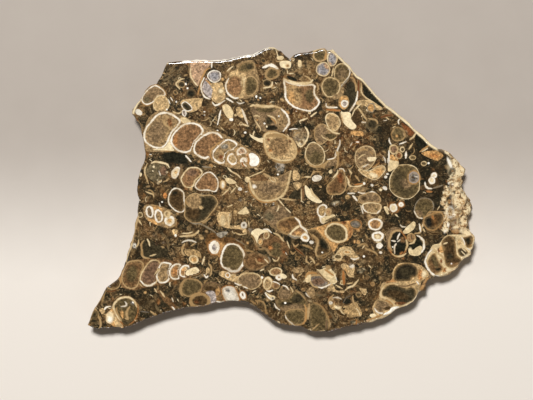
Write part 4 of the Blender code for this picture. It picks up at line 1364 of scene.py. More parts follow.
def aroundBlackShells():
    # two tan chambers with a jagged tail
    blob("ivory", [89, -56, 106, -59, 122, -55, 129, -61, 118, -65, 100, -77, 93, -73])
    cell("sand", [88, -56, 87, -42, 94, -34, 102, -33, 107, -40, 100, -60], thick=0.33)
    oval("chestnut", 111, -49, 0.55, 0.75, 10, wall="tan", thick=0.33)
    line("white", 0.4, 92, -62, 94, -72, 99, -76)
    line("sage", 0.35, 104, -71, 128, -60)
    # the dark oval in its honey web, with the long dark chamber
    blob("honey", [64, -90, 104, -79, 120, -73, 142, -72, 164, -70, 169, -86, 166, -104, 154, -117,
                   136, -123, 130, -134, 122, -142, 114, -126, 96, -106, 82, -90])
    spot("rust", 147, -74, 0.6, 0.4, soft=0.4)
    spot("rust", 162, -98, 0.5, 1.4, -10, soft=0.5, strength=0.7)
    oval("olive", 130, -98, 2.55, 2.05, -24, thick=0.42, wall="cream")
    oval("steel", 174, -78, 1.15, 0.8, -10, wall="sage", thick=0.3, stain="orange", reach=0.5)
    cell("umber", [65, -93, 76, -90, 86, -94, 107, -119, 114, -132, 112, -144, 86, -154, 82, -142, 86, -128,
                   82, -114, 72, -104], wall="sand")
    spot("night", 101, -124, 0.9, 1.4, 35, soft=0.6)
    line("tan", 0.35, 74, -102, 87, -116, 82, -140, 84, -152)
    spot("white", 97, -144, 0.27, 0.22, soft=0.1)
    spot("tan", 89, -154, 0.8, 0.4)
    # pale ring cluster
    blob("tan", [124, -156, 134, -138, 146, -130, 164, -132, 174, -146, 184, -156, 176, -162, 150, -150,
                 140, -164, 128, -162])
    oval("honey", 155, -143, 0.85, 0.42, -5, wall="ivory", thick=0.3)
    oval("olive", 134, -154, 0.85, 0.55, -5, wall="ivory")
    line("white", 0.45, 164, -157, 172, -160, 182, -156)
    line("ivory", 0.25, 128, -149, 136, -140, 148, -135)
    line("tan", 0.45, 61, -152, 60, -164, 68, -170)
    line("ivory", 0.35, 68, -154, 76, -162, 80, -170)
    for x, y, size in ((73, -50, 0.35), (64, -47, 0.3)):
        spot("tan", x, y, size, soft=0.2)
    spot("milk", 126, -32, 0.4, 0.3)


def paleLumps():  # between the ring cluster and the lower edge
    blob("ivory", [83, -185, 94, -184, 104, -179, 114, -184, 129, -206, 132, -213, 120, -216, 108, -209])
    line("honey", 0.6, 84, -193, 74, -191, 63, -194, 58, -202)
    line("taupe", 0.3, 84, -185, 104, -207, 114, -213)
    line("honey", 0.4, 103, -183, 124, -198)
    oval("steel", 111, -179, 0.35, 0.3, wall="sand", thick=0.4)
    spot("tan", 125, -184, 0.6, 0.5)
    line("ivory", 0.22, 113, -186, 120, -191, 130, -195)
    blob("tan", [140, -174, 150, -168, 160, -176, 170, -170, 173, -180, 170, -194, 172, -202, 158, -199,
                 152, -188, 144, -182])
    spot("milk", 166, -175, 0.6, 0.5, soft=0.35)
    spot("honey", 150, -188, 0.6, 0.7, soft=0.4)
    spot("rust", 154, -166, 0.6, 0.3)
    spot("cream", 188, -186, 0.9, 0.5, 20)
    spot("tan", 192, -166, 0.9, 0.5)
    line("sand", 0.35, 178, -130, 192, -124, 204, -130)
    line("tan", 0.3, 196, -134, 220, -144, 226, -152)
    line("sand", 0.3, 212, -128, 218, -140)
    spot("white", 194, -153, 0.27, soft=0.1)
    line("sand", 0.3, 196, -100, 203, -111)
    spot("brown", 236, -162, 1.6, 0.8, -30, soft=0.5)
    for name, x, y, size in (("tan", 212, -196, 0.35), ("ivory", 220, -208, 0.3), ("sand", 232, -204, 0.5),
                             ("sand", 242, -190, 0.3), ("sage", 206, -220, 0.4), ("sand", 220, -240, 0.3)):
        spot(name, x, y, size, size * 0.7, soft=0.2)
    blob("tan", [183, -226, 194, -229, 201, -230, 198, -244, 190, -239])
    oval("moss", 182, -242, 0.6, 0.6, wall="sand", thick=0.2)


def uprightSpire():  # chambers one under another on the right
    line("white", 0.35, 180, -3, 192, -7, 204, -6, 212, -2, 224, -9)
    cell("taupe", [182, -14, 190, -10, 210, -4, 226, -10, 232, -20, 228, -28, 210, -26, 190, -29, 182, -24],
         wall="tan")
    spot("umber", 194, -18, 0.6, 0.5, soft=0.4)
    cell("clay", [191, -33, 204, -28, 220, -29, 233, -33, 231, -46, 223, -52, 206, -51, 194, -44],
         wall="cream", thick=0.3)
    spot("clay", 208, -34, 1, 0.5, soft=0.5)
    spot("olive", 223, -43, 0.4, 0.3)
    line("white", 0.3, 224, -53, 230, -46)
    line("white", 0.3, 191, -34, 193, -43, 201, -50)
    blob("clay", [202, -52, 210, -54, 216, -62, 236, -70, 224, -76, 206, -76])
    oval("tan", 231, -62, 0.4, 0.3, wall="ivory")
    oval("honey", 220, -78, 1.5, 1.25, thick=0.42)
    spot("chestnut", 219, -78, 0.9, 0.8, soft=0.6)
    oval("sand", 226, -106, 1.15, 0.95, thick=0.5)
    spot("cream", 226, -108, 0.5, soft=0.5)
    oval("white", 230, -128, 0.6, 0.55, thick=0.3)
    oval("white", 233, -144, 0.28, 0.25, thick=0.2)
    line("cream", 0.3, 222, -120, 234, -120)
    line("milk", 0.3, 186, -36, 192, -54)
    spot("sage", 186, -56, 0.6, 0.5)


def whitePair():
    spot("orange", 263, -39, 1.7, 1.4, soft=0.5)
    oval("cream", 262, -40, 0.7, 0.8, thick=0.45)
    oval("milk", 280, -32, 0.45, 0.4, thick=0.35, stain="orange", reach=0.5)
    blob("ivory", [239, -38, 246, -37, 250, -48, 252, -54, 248, -55])
    line("cream", 0.4, 247, -37, 252, -46)
    blob("ivory", [284, -99, 289, -89, 300, -78, 310, -71, 314, -79, 309, -90, 296, -99])
    spot("cream", 296, -86, 0.7, 0.5, 45, soft=0.5)
    line("milk", 0.35, 278, -79, 283, -84, 290, -84)


def blackShells():
    # the round shell with white shards
    blob("taupe", [246, -100, 256, -87, 270, -84, 282, -90, 281, -96, 264, -96, 254, -110, 253, -126,
                   260, -142, 254, -142, 247, -128])
    cell("night", [257, -110, 264, -97, 276, -95, 286, -106, 292, -120, 290, -136, 282, -148, 270, -152,
                   260, -144, 254, -130], wall="night", thick=0.1, stain="orange", reach=0.6)
    line("tan", 0.45, 280, -94, 268, -93, 258, -101, 253, -116, 254, -130, 260, -140)
    line("ivory", 0.35, 259, -146, 270, -153, 282, -152, 292, -146)
    line("ivory", 0.45, 292, -114, 295, -126, 291, -138)
    spot("orange", 284, -146, 0.7, 0.35, 20)
    line("white", 0.4, 277, -99, 271, -113)
    line("white", 0.42, 258, -116, 267, -118)
    line("milk", 0.35, 272, -119, 278, -114)
    line("white", 0.38, 269, -123, 265, -132, 266, -146)
    spot("white", 261, -131, 0.25, 0.2, soft=0.1)
    spot("brown", 284, -114, 0.6, 0.7, soft=0.4)
    # its neighbour with the thick white rim
    cell("night", [298, -129, 308, -122, 320, -106, 329, -114, 332, -128, 328, -142, 314, -150, 302, -146],
         wall="night", thick=0.1)
    blob("ivory", [298, -134, 308, -138, 316, -132, 326, -128, 330, -136, 326, -148, 314, -152, 300, -148])
    spot("ivory", 313, -146, 0.8, 0.3)
    spot("cream", 302, -136, 0.35, 0.4)
    line("white", 0.45, 317, -104, 326, -109, 333, -120, 333, -134, 328, -144)
    oval("chestnut", 304, -109, 0.9, 0.9, wall="tan", thick=0.3)
    line("sage", 0.3, 304, -104, 305, -114)
    line("tan", 0.4, 312, -100, 324, -97, 327, -86, 324, -78)
    line("cream", 0.4, 299, -124, 308, -121, 314, -112)
    line("white", 0.3, 322, -76, 326, -96)
    # the round chambers by the crust
    cell("olive", [311, -42, 316, -27, 326, -18, 342, -18, 353, -26, 354, -44, 336, -62, 324, -64,
                   314, -54], wall="grey", thick=0.22)
    spot("taupe", 322, -53, 0.9, 0.7, -30, soft=0.4)
    line("white", 0.28, 310, -46, 315, -56, 322, -63, 330, -64)
    line("tan", 0.25, 339, -56, 348, -49, 378, -49)
    cell("umber", [333, -72, 338, -61, 368, -51, 378, -60, 376, -72, 366, -84, 354, -91, 342, -88,
                   335, -80], wall="sand", thick=0.22, stain="honey", reach=0.4)
    spot("ink", 343, -74, 0.8, 1.3, soft=0.7)
    spot("loam", 358, -70, 0.6, 1.6, 15, soft=0.8)
    line("orange", 0.6, 352, -59, 356, -66)
    line("umber", 0.4, 338, -93, 354, -99, 376, -99)
    line("ivory", 0.35, 331, -88, 336, -96)
    line("white", 0.5, 383, -74, 386, -84, 381, -96)
    # the white twin and the arc under it
    cell("umber", [340, 18, 344, 9, 354, 6, 369, 12, 366, 26, 358, 36, 344, 34], wall="night", thick=0.1)
    oval("cream", 356, 36, 0.5, 0.5, thick=0.4)
    oval("cream", 351, 24, 0.6, 0.7, thick=0.35)
    line("white", 0.4, 335, 20, 336, 12, 342, 6, 352, 5)
    line("grey", 0.3, 352, 5, 376, 13)
    line("rust", 0.35, 337, 1, 347, 0)
    line("orange", 0.42, 339, -2, 352, -2)
    spot("taupe", 349, -10, 0.5, 0.3)
    oval("moss", 351, -109, 0.4, 0.3, -30, wall="sage", thick=0.15)


def rightLobe():  # the chambers of the lobe below the crust
    blob("ivory", [338, -168, 344, -146, 354, -127, 370, -122, 386, -104, 422, -102, 449, -100, 451, -134,
                   436, -160, 418, -186, 386, -202, 358, -202, 344, -186])
    cell("brown", [342, -166, 352, -149, 360, -147, 364, -156, 372, -170, 379, -183, 359, -195, 347, -184],
         wall="tan")
    spot("night", 354, -156, 0.5, 0.6, soft=0.4)
    spot("olive", 360, -166, 0.6, 1.5, 20, soft=0.6)
    spot("night", 368, -184, 0.8, 0.4, soft=0.4)
    line("white", 0.4, 353, -136, 343, -148, 337, -164, 340, -176, 348, -188, 360, -198, 370, -199)
    line("ivory", 0.3, 353, -128, 357, -138, 362, -143, 362, -152)
    line("ivory", 0.3, 366, -146, 376, -153, 381, -164)
    spot("rust", 368, -139, 0.35, 0.5)
    spot("rust", 374, -164, 0.3, 0.5)
    spot("honey", 375, -136, 0.6, 0.9)
    spot("orange", 382, -185, 0.8, 0.5, soft=0.4)
    cell("umber", [375, -120, 386, -107, 396, -106, 405, -116, 409, -148, 418, -158, 423, -166, 412, -174,
                   398, -179, 386, -174, 382, -158, 379, -140], wall="sand", thick=0.22)
    spot("umber", 400, -112, 0.7, 0.6, soft=0.5)
    spot("moss", 394, -153, 0.7, soft=0.6)
    spot("brown", 404, -171, 1.2, 0.5, soft=0.5)
    line("cream", 0.4, 379, -124, 388, -121)
    spot("white", 398, -170, 0.22, soft=0.1)
    cell("umber", [424, -110, 436, -106, 446, -103, 446, -128, 434, -132, 429, -122], wall="tan", thick=0.2)
    spot("night", 434, -116, 0.7, 0.8, soft=0.5)
    spot("honey", 443, -128, 0.4)
    line("white", 0.3, 421, -109, 426, -116, 429, -126)
    spot("tan", 416, -120, 0.5, 0.8, soft=0.4)
    cell("night", [413, -138, 420, -133, 430, -137, 436, -144, 431, -152, 422, -153, 415, -148], wall="tan",
         thick=0.2)
    line("cream", 0.28, 422, -133, 432, -142)
    line("cream", 0.28, 420, -140, 430, -150)
    line("white", 0.25, 433, -133, 443, -140)
    line("moss", 0.25, 382, -196, 392, -193, 400, -194)
    spot("cream", 390, -185, 0.6, 0.35)


def beanChamber():  # the bean, the round chamber above it and the oval below, in cream and orange rims
    blob("tan", [262, -186, 272, -172, 290, -168, 314, -170, 330, -176, 346, -194, 340, -204, 329, -210,
                 326, -226, 322, -250, 306, -268, 280, -274, 244, -296, 204, -310, 200, -306, 220, -296,
                 214, -276, 220, -260, 230, -240, 236, -216, 258, -208])
    spot("orange", 260, -210, 1.6, 0.5, 15, soft=0.4, strength=0.7)
    spot("loam", 228, -244, 0.4, 1.8, -15, soft=0.1, strength=0.8)
    spot("orange", 325, -196, 0.6, 1.3, soft=0.5, strength=0.8)
    spot("cream", 334, -194, 0.5, 0.8, -20, soft=0.4)
    cell("bark", [264, -194, 270, -179, 284, -171, 302, -169, 316, -178, 320, -190, 316, -200, 306, -202,
                  302, -210, 284, -211, 266, -209], wall="sand", thick=0.2)
    spot("moss", 294, -190, 1.6, 1.1, soft=0.7)
    spot("tan", 309, -205, 0.6, 0.4)
    cell("moss", [236, -236, 242, -226, 254, -219, 268, -219, 292, -227, 306, -225, 314, -230, 317, -240,
                  314, -252, 304, -263, 288, -268, 276, -266, 264, -256, 248, -249, 237, -246], wall="tan")
    spot("umber", 274, -244, 2.6, 1, -15, soft=0.8, strength=0.8)
    spot("rust", 280, -263, 1.6, 0.35, soft=0.1, strength=0.7)
    line("ivory", 0.4, 276, -220, 262, -216, 248, -219, 237, -229, 233, -242, 236, -248, 248, -252,
         260, -260, 269, -270, 286, -272)
    line("taupe", 0.3, 274, -221, 290, -223, 316, -216)
    line("white", 0.45, 317, -211, 322, -218)
    line("cream", 0.4, 323, -232, 320, -250, 310, -263, 294, -271)
    line("honey", 0.3, 244, -255, 258, -262, 262, -268)
    cell("taupe", [226, -255, 250, -261, 258, -269, 255, -278, 244, -280, 234, -284, 224, -280, 220, -272],
         wall="tan", thick=0.2)
    spot("umber", 250, -274, 0.8, 0.4, 15, soft=0.1)
    spot("night", 230, -256, 0.8, 0.3, -10)
    line("white", 0.4, 219, -274, 224, -282, 232, -286, 239, -286)
    blob("white", [260, -272, 278, -272, 254, -292, 238, -296, 242, -287, 254, -280])
    spot("cream", 216, -292, 0.8, 0.5, soft=0.1)
    line("cream", 0.4, 203, -309, 256, -292)
    line("honey", 0.4, 200, -304, 236, -291)


def drawEverything():
    for area in (upperLeftCorner, topMiddle, upperRight, besideLongSpire, spiralShell, longSpire, rightSide,
                 leftMiddle, middleHash, bowlShell, nearBowl, lowerLeft, lowerSpire, lowerMiddle,
                 middleSpires, lowerEdge, aroundBlackShells, paleLumps, uprightSpire, whitePair,
                 blackShells, rightLobe, beanChamber):
        area()


class Nodes:  # makes and joins the nodes of one tree
    def __init__(self, tree):
        self.tree = tree

    def new(self, kind):
        return self.tree.nodes.new(kind)

    def feed(self, socket, value):  # with another node's output, a colour's name or a fixed value
        if isinstance(value, bpy.types.NodeSocket):
            self.tree.links.new(value, socket)
        elif isinstance(value, str):
            socket.default_value = [*linearColour(value), 1.0]
        else:
            socket.default_value = value

    def math(self, operation, *values):
        node = self.new("ShaderNodeMath")
        node.operation = operation
        for socket, value in zip(node.inputs, values):
            self.feed(socket, value)
        return node.outputs[0]

    def times(self, first, second):
        return self.math("MULTIPLY", first, second)

    def timesPlus(self, first, second, third):
        return self.math("MULTIPLY_ADD", first, second, third)

    def ramp(self, value, low, high, clearLow=0.0, clearHigh=1.0):  # a soft step from low to high
        node = self.new("ShaderNodeMapRange")
        node.interpolation_type = "SMOOTHSTEP"
        for socket, given in zip(node.inputs, (value, low, high, clearLow, clearHigh)):
            self.feed(socket, given)
        return node.outputs[0]

    def mix(self, factor, first, second, blend="MIX"):
        node = self.new("ShaderNodeMix")
        node.data_type = "RGBA"
        node.blend_type = blend
        for place, given in ((0, factor), (6, first), (7, second)):  # where the colour mix has its sockets
            self.feed(node.inputs[place], given)
        return node.outputs[2]

    def split(self, kind, value):
        node = self.new(kind)
        self.feed(node.inputs[0], value)
        return node.outputs

    def noise(self, place, pattern):
        size, detail, roughness, warp = pattern
        node = self.new("ShaderNodeTexNoise")
        node.inputs["Scale"].default_value = 1.0 / (size * mm)
        node.inputs["Detail"].default_value = detail
        node.inputs["Roughness"].default_value = roughness
        node.inputs["Distortion"].default_value = warp
        self.feed(node.inputs["Vector"], place)
        return node.outputs["Fac"]

    def attribute(self, name):
        node = self.new("ShaderNodeAttribute")
        node.attribute_name = name
        return node.outputs


# Noise of the stone: size of a feature in millimetres, detail, roughness and warp
patterns = {
    "cloud": (1.2, 4.0, 0.62, 1.2),
    "grain": (0.62, 3.0, 0.72, 0.0),
    "fineGrain": (0.36, 2.0, 0.6, 0.0),
    "tone": (2.6, 3.0, 0.6, 0.0),
    "wobble": (0.8, 2.0, 0.55, 0.0),
    "knobs": (1.6, 4.0, 0.62, 0.0),
    "crevice": (1.0, 3.0, 0.7, 1.0),
    "floorCloud": (9.0, 3.0, 0.5, 0.0),
}

# The finish of the polished face, the sawn back and the natural rim
finish = {
    "polishRoughness": 0.13,
    "sawnRoughness": 0.45,
    "crustRoughness": 0.85,
    "wallRoughness": 0.05,  # what the walls of the shells add on the polish
    "grainRoughness": 0.08,  # what the grain adds off it
    "specular": 0.4,
    "bumps": 0.12,  # height of the roughness off the polish, in millimetres
    "polishBumps": 0.04,  # the share of it that the polish keeps
    "depth": 1.12,  # above one, the stone is darker and richer than its colours
    "wobble": 0.07,  # unevenness of a shell's wall, in millimetres
    "dullWall": (0.62, 0.5, 0.34, 1),  # the worn stretches of a shell's wall, as a share of its colour
    "stain": 0.85,  # stain round a wall
    "fringe": 0.7,  # sand-coloured fringe along a wall
    "lining": 0.3,  # the same inside it
    "paleMottle": 0.3,  # share of the mottling that the palest fillings keep
    "crustStains": 0.6,
    # painted shade on the rim's lower part
    "lowerRimShadeStrength": 0.75,
    "flecks": 0.8,
    "honeyHollows": 0.75,
    "pits": 0.85,
    "calm": 0.35,  # share of the last three away from the knobbly end
}

# The rock between the shells. A pair is what fine hash adds, and what there is without it.
rock = {
    "crumb": 0.62,  # in millimetres
    "glassy": (0.42, 0.42, 0.42, 1),  # its dark parts, as a share of its colour
    "specks": (0.75, 0.06),
    "grit": (0.5, 0.02),
    "loam": (0.85, 0.0),
    "night": 0.75,
    "bark": 0.75,
}


def bareGroup(name, inputs, outputs):
    group = bpy.data.node_groups.new(name, "ShaderNodeTree")
    for label, kind in inputs:
        group.interface.new_socket(label, in_out="INPUT", socket_type="NodeSocket" + kind)
    for label, kind in outputs:
        group.interface.new_socket(label, in_out="OUTPUT", socket_type="NodeSocket" + kind)
    return group, group.nodes.new("NodeGroupInput").outputs, group.nodes.new("NodeGroupOutput").inputs


def makeShellLayer():  # draws one layer of marks over what is below it
    tree, given, made = bareGroup(
        "shell layer",
        [("Below", "Color"), ("Shape", "Vector"), ("Filling", "Color"), ("Strength", "Float"),
         ("Wall", "Color"), ("Softness", "Float"), ("Stain", "Color"), ("Wobble", "Float"),
         ("Unevenness", "Float"), ("Mottle", "Float"), ("Stain Grain", "Float"),
         ("Fringe Grain", "Float"), ("Dullness", "Float")],
        [("Colour", "Color"), ("Wall Mask", "Float")])
    nodes = Nodes(tree)
    away, width, stainReach = nodes.split("ShaderNodeSeparateXYZ", given["Shape"])
    distance = nodes.math("ADD", away, given["Wobble"])
    there = nodes.math("GREATER_THAN", width, 0.01)
    uneven = nodes.times(width, given["Unevenness"])
    outward = nodes.math("ADD", uneven, nodes.math("ABSOLUTE", distance))
    wall = nodes.times(nodes.ramp(outward, 0.1, -0.08), there)
    halfSoft = nodes.times(given["Softness"], 0.5)
    inside = nodes.ramp(distance, halfSoft, nodes.times(halfSoft, -1.0))
    inside = nodes.times(inside, given["Strength"])
    reach = nodes.math("MAXIMUM", stainReach, 0.001)
    faded = nodes.ramp(nodes.math("DIVIDE", outward, reach), 1.0, 0.15)
    stain = nodes.times(nodes.times(faded, finish["stain"]), there)
    stain = nodes.times(stain, given["Stain Grain"])
    colour = nodes.mix(stain, given["Below"], given["Stain"])
    fringe = nodes.math("DIVIDE", outward, nodes.timesPlus(width, 0.5, 0.08))
    fringe = nodes.ramp(fringe, 1.0, 0.0, 0.0, finish["fringe"])
    fringe = nodes.times(fringe, nodes.ramp(width, 0.12, 0.26))
    fringe = nodes.times(fringe, given["Fringe Grain"])
    colour = nodes.mix(fringe, colour, "sand")
    lining = nodes.times(nodes.ramp(distance, -0.75, -0.08, 0.0, finish["lining"]),
                         nodes.ramp(width, 0.08, 0.16))
    colour = nodes.mix(inside, colour, nodes.mix(lining, given["Filling"], "sand"))
    paleness = nodes.split("ShaderNodeRGBToBW", colour)[0]  # pale fillings are nearly even
    uneasy = nodes.times(inside, nodes.ramp(paleness, 0.36, 0.66, 1.0, finish["paleMottle"]))
    shade = nodes.timesPlus(given["Mottle"], uneasy, 1.0)
    shades = nodes.new("ShaderNodeCombineColor")
    for socket in shades.inputs:
        nodes.feed(socket, shade)
    colour = nodes.mix(1.0, colour, shades.outputs[0], "MULTIPLY")
    dull = nodes.mix(1.0, given["Wall"], finish["dullWall"], "MULTIPLY")
    wallColour = nodes.mix(given["Dullness"], given["Wall"], dull)
    colour = nodes.mix(wall, colour, wallColour)
    nodes.feed(made["Colour"], colour)
    nodes.feed(made["Wall Mask"], wall)
    return tree


def drawGround(nodes, place, noise):  # the rock between the shells
    ground = nodes.attribute("ground")
    base, hashed = ground["Color"], ground["Alpha"]
    dark = nodes.mix(1.0, base, rock["glassy"], "MULTIPLY")
    crumbs = nodes.new("ShaderNodeTexVoronoi")
    crumbs.inputs["Scale"].default_value = 1.0 / (rock["crumb"] * mm)
    nodes.feed(crumbs.inputs["Vector"], place)
    crumb = nodes.split("ShaderNodeSeparateColor", crumbs.outputs["Color"])
    light = nodes.mix(nodes.ramp(noise["fineGrain"], 0.48, 0.6), base, "tan")
    speck = nodes.times(nodes.ramp(noise["fineGrain"], 0.5, 0.62), nodes.timesPlus(hashed, *rock["specks"]))
    colour = nodes.mix(nodes.ramp(noise["cloud"], 0.44, 0.6), dark, base)
    brownish = nodes.timesPlus(hashed, *rock["loam"])
    colour = nodes.mix(nodes.times(nodes.ramp(noise["tone"], 0.42, 0.54), brownish), colour, "loam")
    colour = nodes.mix(nodes.ramp(noise["tone"], 0.5, 0.4, 0.0, rock["night"]), colour, "night")
    grit = nodes.times(nodes.timesPlus(hashed, *rock["grit"]), nodes.ramp(crumb[0], 0.35, 0.75))
    colour = nodes.mix(grit, colour, nodes.mix(crumb[1], "bark", "sand"))
    colour = nodes.mix(nodes.times(speck, nodes.ramp(noise["grain"], 0.44, 0.56)), colour, light)
    return nodes.mix(nodes.times(nodes.ramp(noise["grain"], 0.46, 0.38), rock["bark"]), colour, "bark")


def drawShells(nodes, noise, colour, layerCount):  # the layers of marks, from the lowest up
    mottle = nodes.times(nodes.ramp(noise["grain"], 0.36, 0.64, 0.66, 1.34),
                         nodes.ramp(noise["fineGrain"], 0.36, 0.64, 0.76, 1.26))
    shared = {
        "Wobble": noise["wobble"],
        "Unevenness": nodes.ramp(noise["cloud"], 0.35, 0.65, -0.3, -0.62),
        "Mottle": nodes.timesPlus(mottle, nodes.ramp(noise["cloud"], 0.35, 0.65, 0.82, 1.2), -1.0),
        "Stain Grain": nodes.ramp(noise["grain"], 0.15, 0.6),
        "Fringe Grain": nodes.ramp(noise["grain"], 0.3, 0.6, 0.35, 1.0),
        "Dullness": nodes.timesPlus(nodes.ramp(noise["fineGrain"], 0.6, 0.3), 0.25,
                                    nodes.ramp(noise["tone"], 0.42, 0.64, 0.05, 0.55)),
    }
    layerTree = makeShellLayer()
    walls = 0.0
    for level in range(layerCount):
        layer = nodes.new("ShaderNodeGroup")
        layer.node_tree = layerTree
        nodes.feed(layer.inputs["Below"], colour)
        nodes.feed(layer.inputs["Shape"], nodes.attribute("shape%d" % level)["Vector"])
        for part, spare in (("Filling", "Strength"), ("Wall", "Softness"), ("Stain", None)):
            look = nodes.attribute("%s%d" % (part.lower(), level))
            nodes.feed(layer.inputs[part], look["Color"])
            if spare:
                nodes.feed(layer.inputs[spare], look["Alpha"])
        for name, value in shared.items():
            nodes.feed(layer.inputs[name], value)
        colour = layer.outputs["Colour"]
        walls = nodes.math("MAXIMUM", walls, layer.outputs["Wall Mask"])
    return colour, walls


def drawCrust(nodes, place, noise, knobs, surface, colour):  # cream knobs, honey stains, and painted shade on the rim's lower part
    crust, lowerRimShade, knobbly = surface
    worn = nodes.mix(nodes.ramp(knobs, 0.42, 0.58), "umber", "taupe")
    crustColour = nodes.mix(nodes.ramp(knobs, 0.38, 0.52), "tan", "cream")
    crustColour = nodes.mix(knobbly, worn, crustColour)
    stained = nodes.ramp(noise["cloud"], 0.54, 0.64, 0.0, finish["crustStains"])
    crustColour = nodes.mix(stained, crustColour, "honey")
    # painted shade: the rim's lower part turns towards bark
    crustColour = nodes.mix(nodes.times(lowerRimShade, finish["lowerRimShadeStrength"]), crustColour, "bark")
    colour = nodes.mix(crust, colour, crustColour)
    tint = nodes.attribute("tint")
    colour = nodes.mix(tint["Alpha"], colour, tint["Color"])
    crevice = nodes.noise(place, patterns["crevice"])
    lively = nodes.times(crust, nodes.timesPlus(knobbly, 1 - finish["calm"], finish["calm"]))
    for name, low, high, strength in (("cream", 0.54, 0.6, "flecks"), ("honey", 0.5, 0.44, "honeyHollows"),
                                      ("umber", 0.44, 0.4, "pits")):
        share = nodes.times(lively, nodes.ramp(crevice, low, high, 0.0, finish[strength]))
        colour = nodes.mix(share, colour, name)
    return colour


def makeStone(layerCount):
    material = bpy.data.materials.new("shell agate")
    material.use_nodes = True
    shader = material.node_tree.nodes["Principled BSDF"]
    nodes = Nodes(material.node_tree)
    place = nodes.new("ShaderNodeTexCoord").outputs["Object"]
    shared = ("cloud", "grain", "fineGrain", "tone", "wobble")
    noise = {name: nodes.noise(place, patterns[name]) for name in shared}
    noise["wobble"] = nodes.timesPlus(noise["wobble"], 2 * finish["wobble"], -finish["wobble"])
    surface = nodes.attribute("surface")
    polish, crust, lowerRimShade = nodes.split("ShaderNodeSeparateColor", surface["Color"])
    colour = drawGround(nodes, place, noise)
    colour, walls = drawShells(nodes, noise, colour, layerCount)
    knobs = nodes.noise(place, patterns["knobs"])
    colour = drawCrust(nodes, place, noise, knobs, (crust, lowerRimShade, surface["Alpha"]), colour)
    deep = nodes.new("ShaderNodeGamma")
    deep.inputs[1].default_value = finish["depth"]
    nodes.feed(deep.inputs[0], colour)
    nodes.feed(shader.inputs["Base Color"], deep.outputs[0])
    sawn = finish["sawnRoughness"]
    matt = nodes.timesPlus(crust, finish["crustRoughness"] - sawn, sawn)
    matt = nodes.timesPlus(nodes.ramp(noise["fineGrain"], 0.3, 0.7), finish["grainRoughness"], matt)
    bright = nodes.timesPlus(walls, finish["wallRoughness"], finish["polishRoughness"])
    roughness = nodes.new("ShaderNodeMix")
    for slot, value in ((0, polish), (2, matt), (3, bright)):
        nodes.feed(roughness.inputs[slot], value)
    nodes.feed(shader.inputs["Roughness"], roughness.outputs[0])
    bump = nodes.new("ShaderNodeBump")
    bump.inputs["Distance"].default_value = finish["bumps"] * mm
    height = nodes.times(nodes.math("ADD", noise["fineGrain"], knobs),
                         nodes.timesPlus(polish, finish["polishBumps"] - 1, 1.0))
    nodes.feed(bump.inputs["Height"], height)
    nodes.feed(shader.inputs["Normal"], bump.outputs["Normal"])
    shader.inputs["Specular IOR Level"].default_value = finish["specular"]
    return material


# The view, the floor and the light. Lengths in metres, powers in watts.
view = {
    "focal": 110.0,
    "span": 0.1237,  # width of the view at the polished face
    "lean": 4.0,  # degrees from straight above, towards +Y
    "aim": (-0.00336, -0.0022),  # the middle of the view, along X and Y
}
studio = {
    "floorSize": 1.5,
    "floorRoughness": 0.75,
    "floorSpecular": 0.2,
    "floorShadeFade": (0.016, -0.028),  # where the floor goes from painted shade to painted light, along Y
    "floorClouds": 0.1,
    "worldColour": (1.0, 0.9, 0.76, 1.0),
    "worldStrength": 0.08,
    "lights": {  # power, size, place and aim
        "key": (6.0, 0.13, (-0.08, 0.28, 0.68), (0.0, -0.02, 0.0)),
        "fill": (0.3, 0.5, (0.35, -0.5, 0.5), (0.0, -0.03, 0.0)),
    },
}


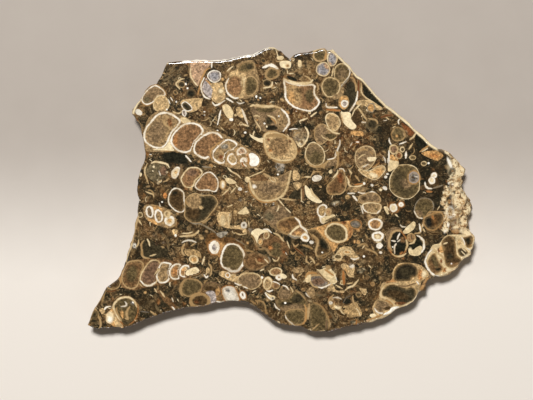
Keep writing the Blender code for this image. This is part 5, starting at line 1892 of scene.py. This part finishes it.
def makeFloor():
    mesh = bmesh.new()
    bmesh.ops.create_grid(mesh, x_segments=1, y_segments=1, size=studio["floorSize"])
    data = bpy.data.meshes.new("floor")
    mesh.to_mesh(data)
    mesh.free()
    floor = bpy.data.objects.new("floor", data)
    bpy.context.collection.objects.link(floor)
    material = bpy.data.materials.new("pale floor")
    material.use_nodes = True
    shader = material.node_tree.nodes["Principled BSDF"]
    shader.inputs["Roughness"].default_value = studio["floorRoughness"]
    shader.inputs["Specular IOR Level"].default_value = studio["floorSpecular"]
    nodes = Nodes(material.node_tree)
    place = nodes.new("ShaderNodeTexCoord").outputs["Object"]
    # the floor's colour is painted light: darker towards +Y, paler towards -Y, made uneven by soft clouds
    cloud = nodes.noise(place, patterns["floorCloud"])
    paintedLightShare = nodes.ramp(nodes.split("ShaderNodeSeparateXYZ", place)[1], *studio["floorShadeFade"])
    colour = nodes.mix(nodes.timesPlus(cloud, studio["floorClouds"], paintedLightShare), "paintedFloorShade", "paintedFloorLight")
    nodes.feed(shader.inputs["Base Color"], colour)
    data.materials.append(material)


def makeLight(name, power, size, place, target):
    lamp = bpy.data.lights.new(name, "AREA")
    lamp.shape = "DISK"
    lamp.size = size
    lamp.energy = power
    light = bpy.data.objects.new(name, lamp)
    bpy.context.collection.objects.link(light)
    light.location = place
    light.rotation_euler = (Vector(target) - Vector(place)).to_track_quat("-Z", "Y").to_euler()


def makeStudio():
    makeFloor()
    world = bpy.data.worlds.new("studio")
    world.use_nodes = True
    background = world.node_tree.nodes["Background"]
    background.inputs[0].default_value = studio["worldColour"]
    background.inputs[1].default_value = studio["worldStrength"]
    bpy.context.scene.world = world
    for name, settings in studio["lights"].items():
        makeLight(name, *settings)
    camera = bpy.data.cameras.new("camera")
    camera.lens = view["focal"]
    distance = view["span"] * view["focal"] / camera.sensor_width
    eye = bpy.data.objects.new("camera", camera)
    bpy.context.collection.objects.link(eye)
    lean = math.radians(view["lean"])
    aim = Vector((*view["aim"], boxAtStart[1][2]))
    eye.location = aim + distance * Vector((0, math.sin(lean), math.cos(lean)))
    eye.rotation_euler = (-lean, 0, 0)
    bpy.context.scene.camera = eye
    bpy.context.scene.view_settings.view_transform = "Standard"


def main():
    mesh = makeSlabMesh()
    print("slab cut into", len(mesh.faces), "faces,", len(mesh.verts), "points")
    stone = bpy.data.objects.new("turritella_slab", bpy.data.meshes.new("turritella_slab"))
    bpy.context.collection.objects.link(stone)
    mesh.normal_update()
    mesh.to_mesh(stone.data)
    mesh.free()
    layers = markSlab(stone.data)
    print("marks laid in", layers, "layers")
    stone.data.shade_smooth()
    stone.data.set_sharp_from_angle(angle=math.radians(slab["sharpAngle"]))
    stone.data.materials.append(makeStone(layers))
    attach(stone, "root")
    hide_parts("agate_slab")
    print("stone finished")
    makeStudio()
    print("floor, lights and camera in place")


main()
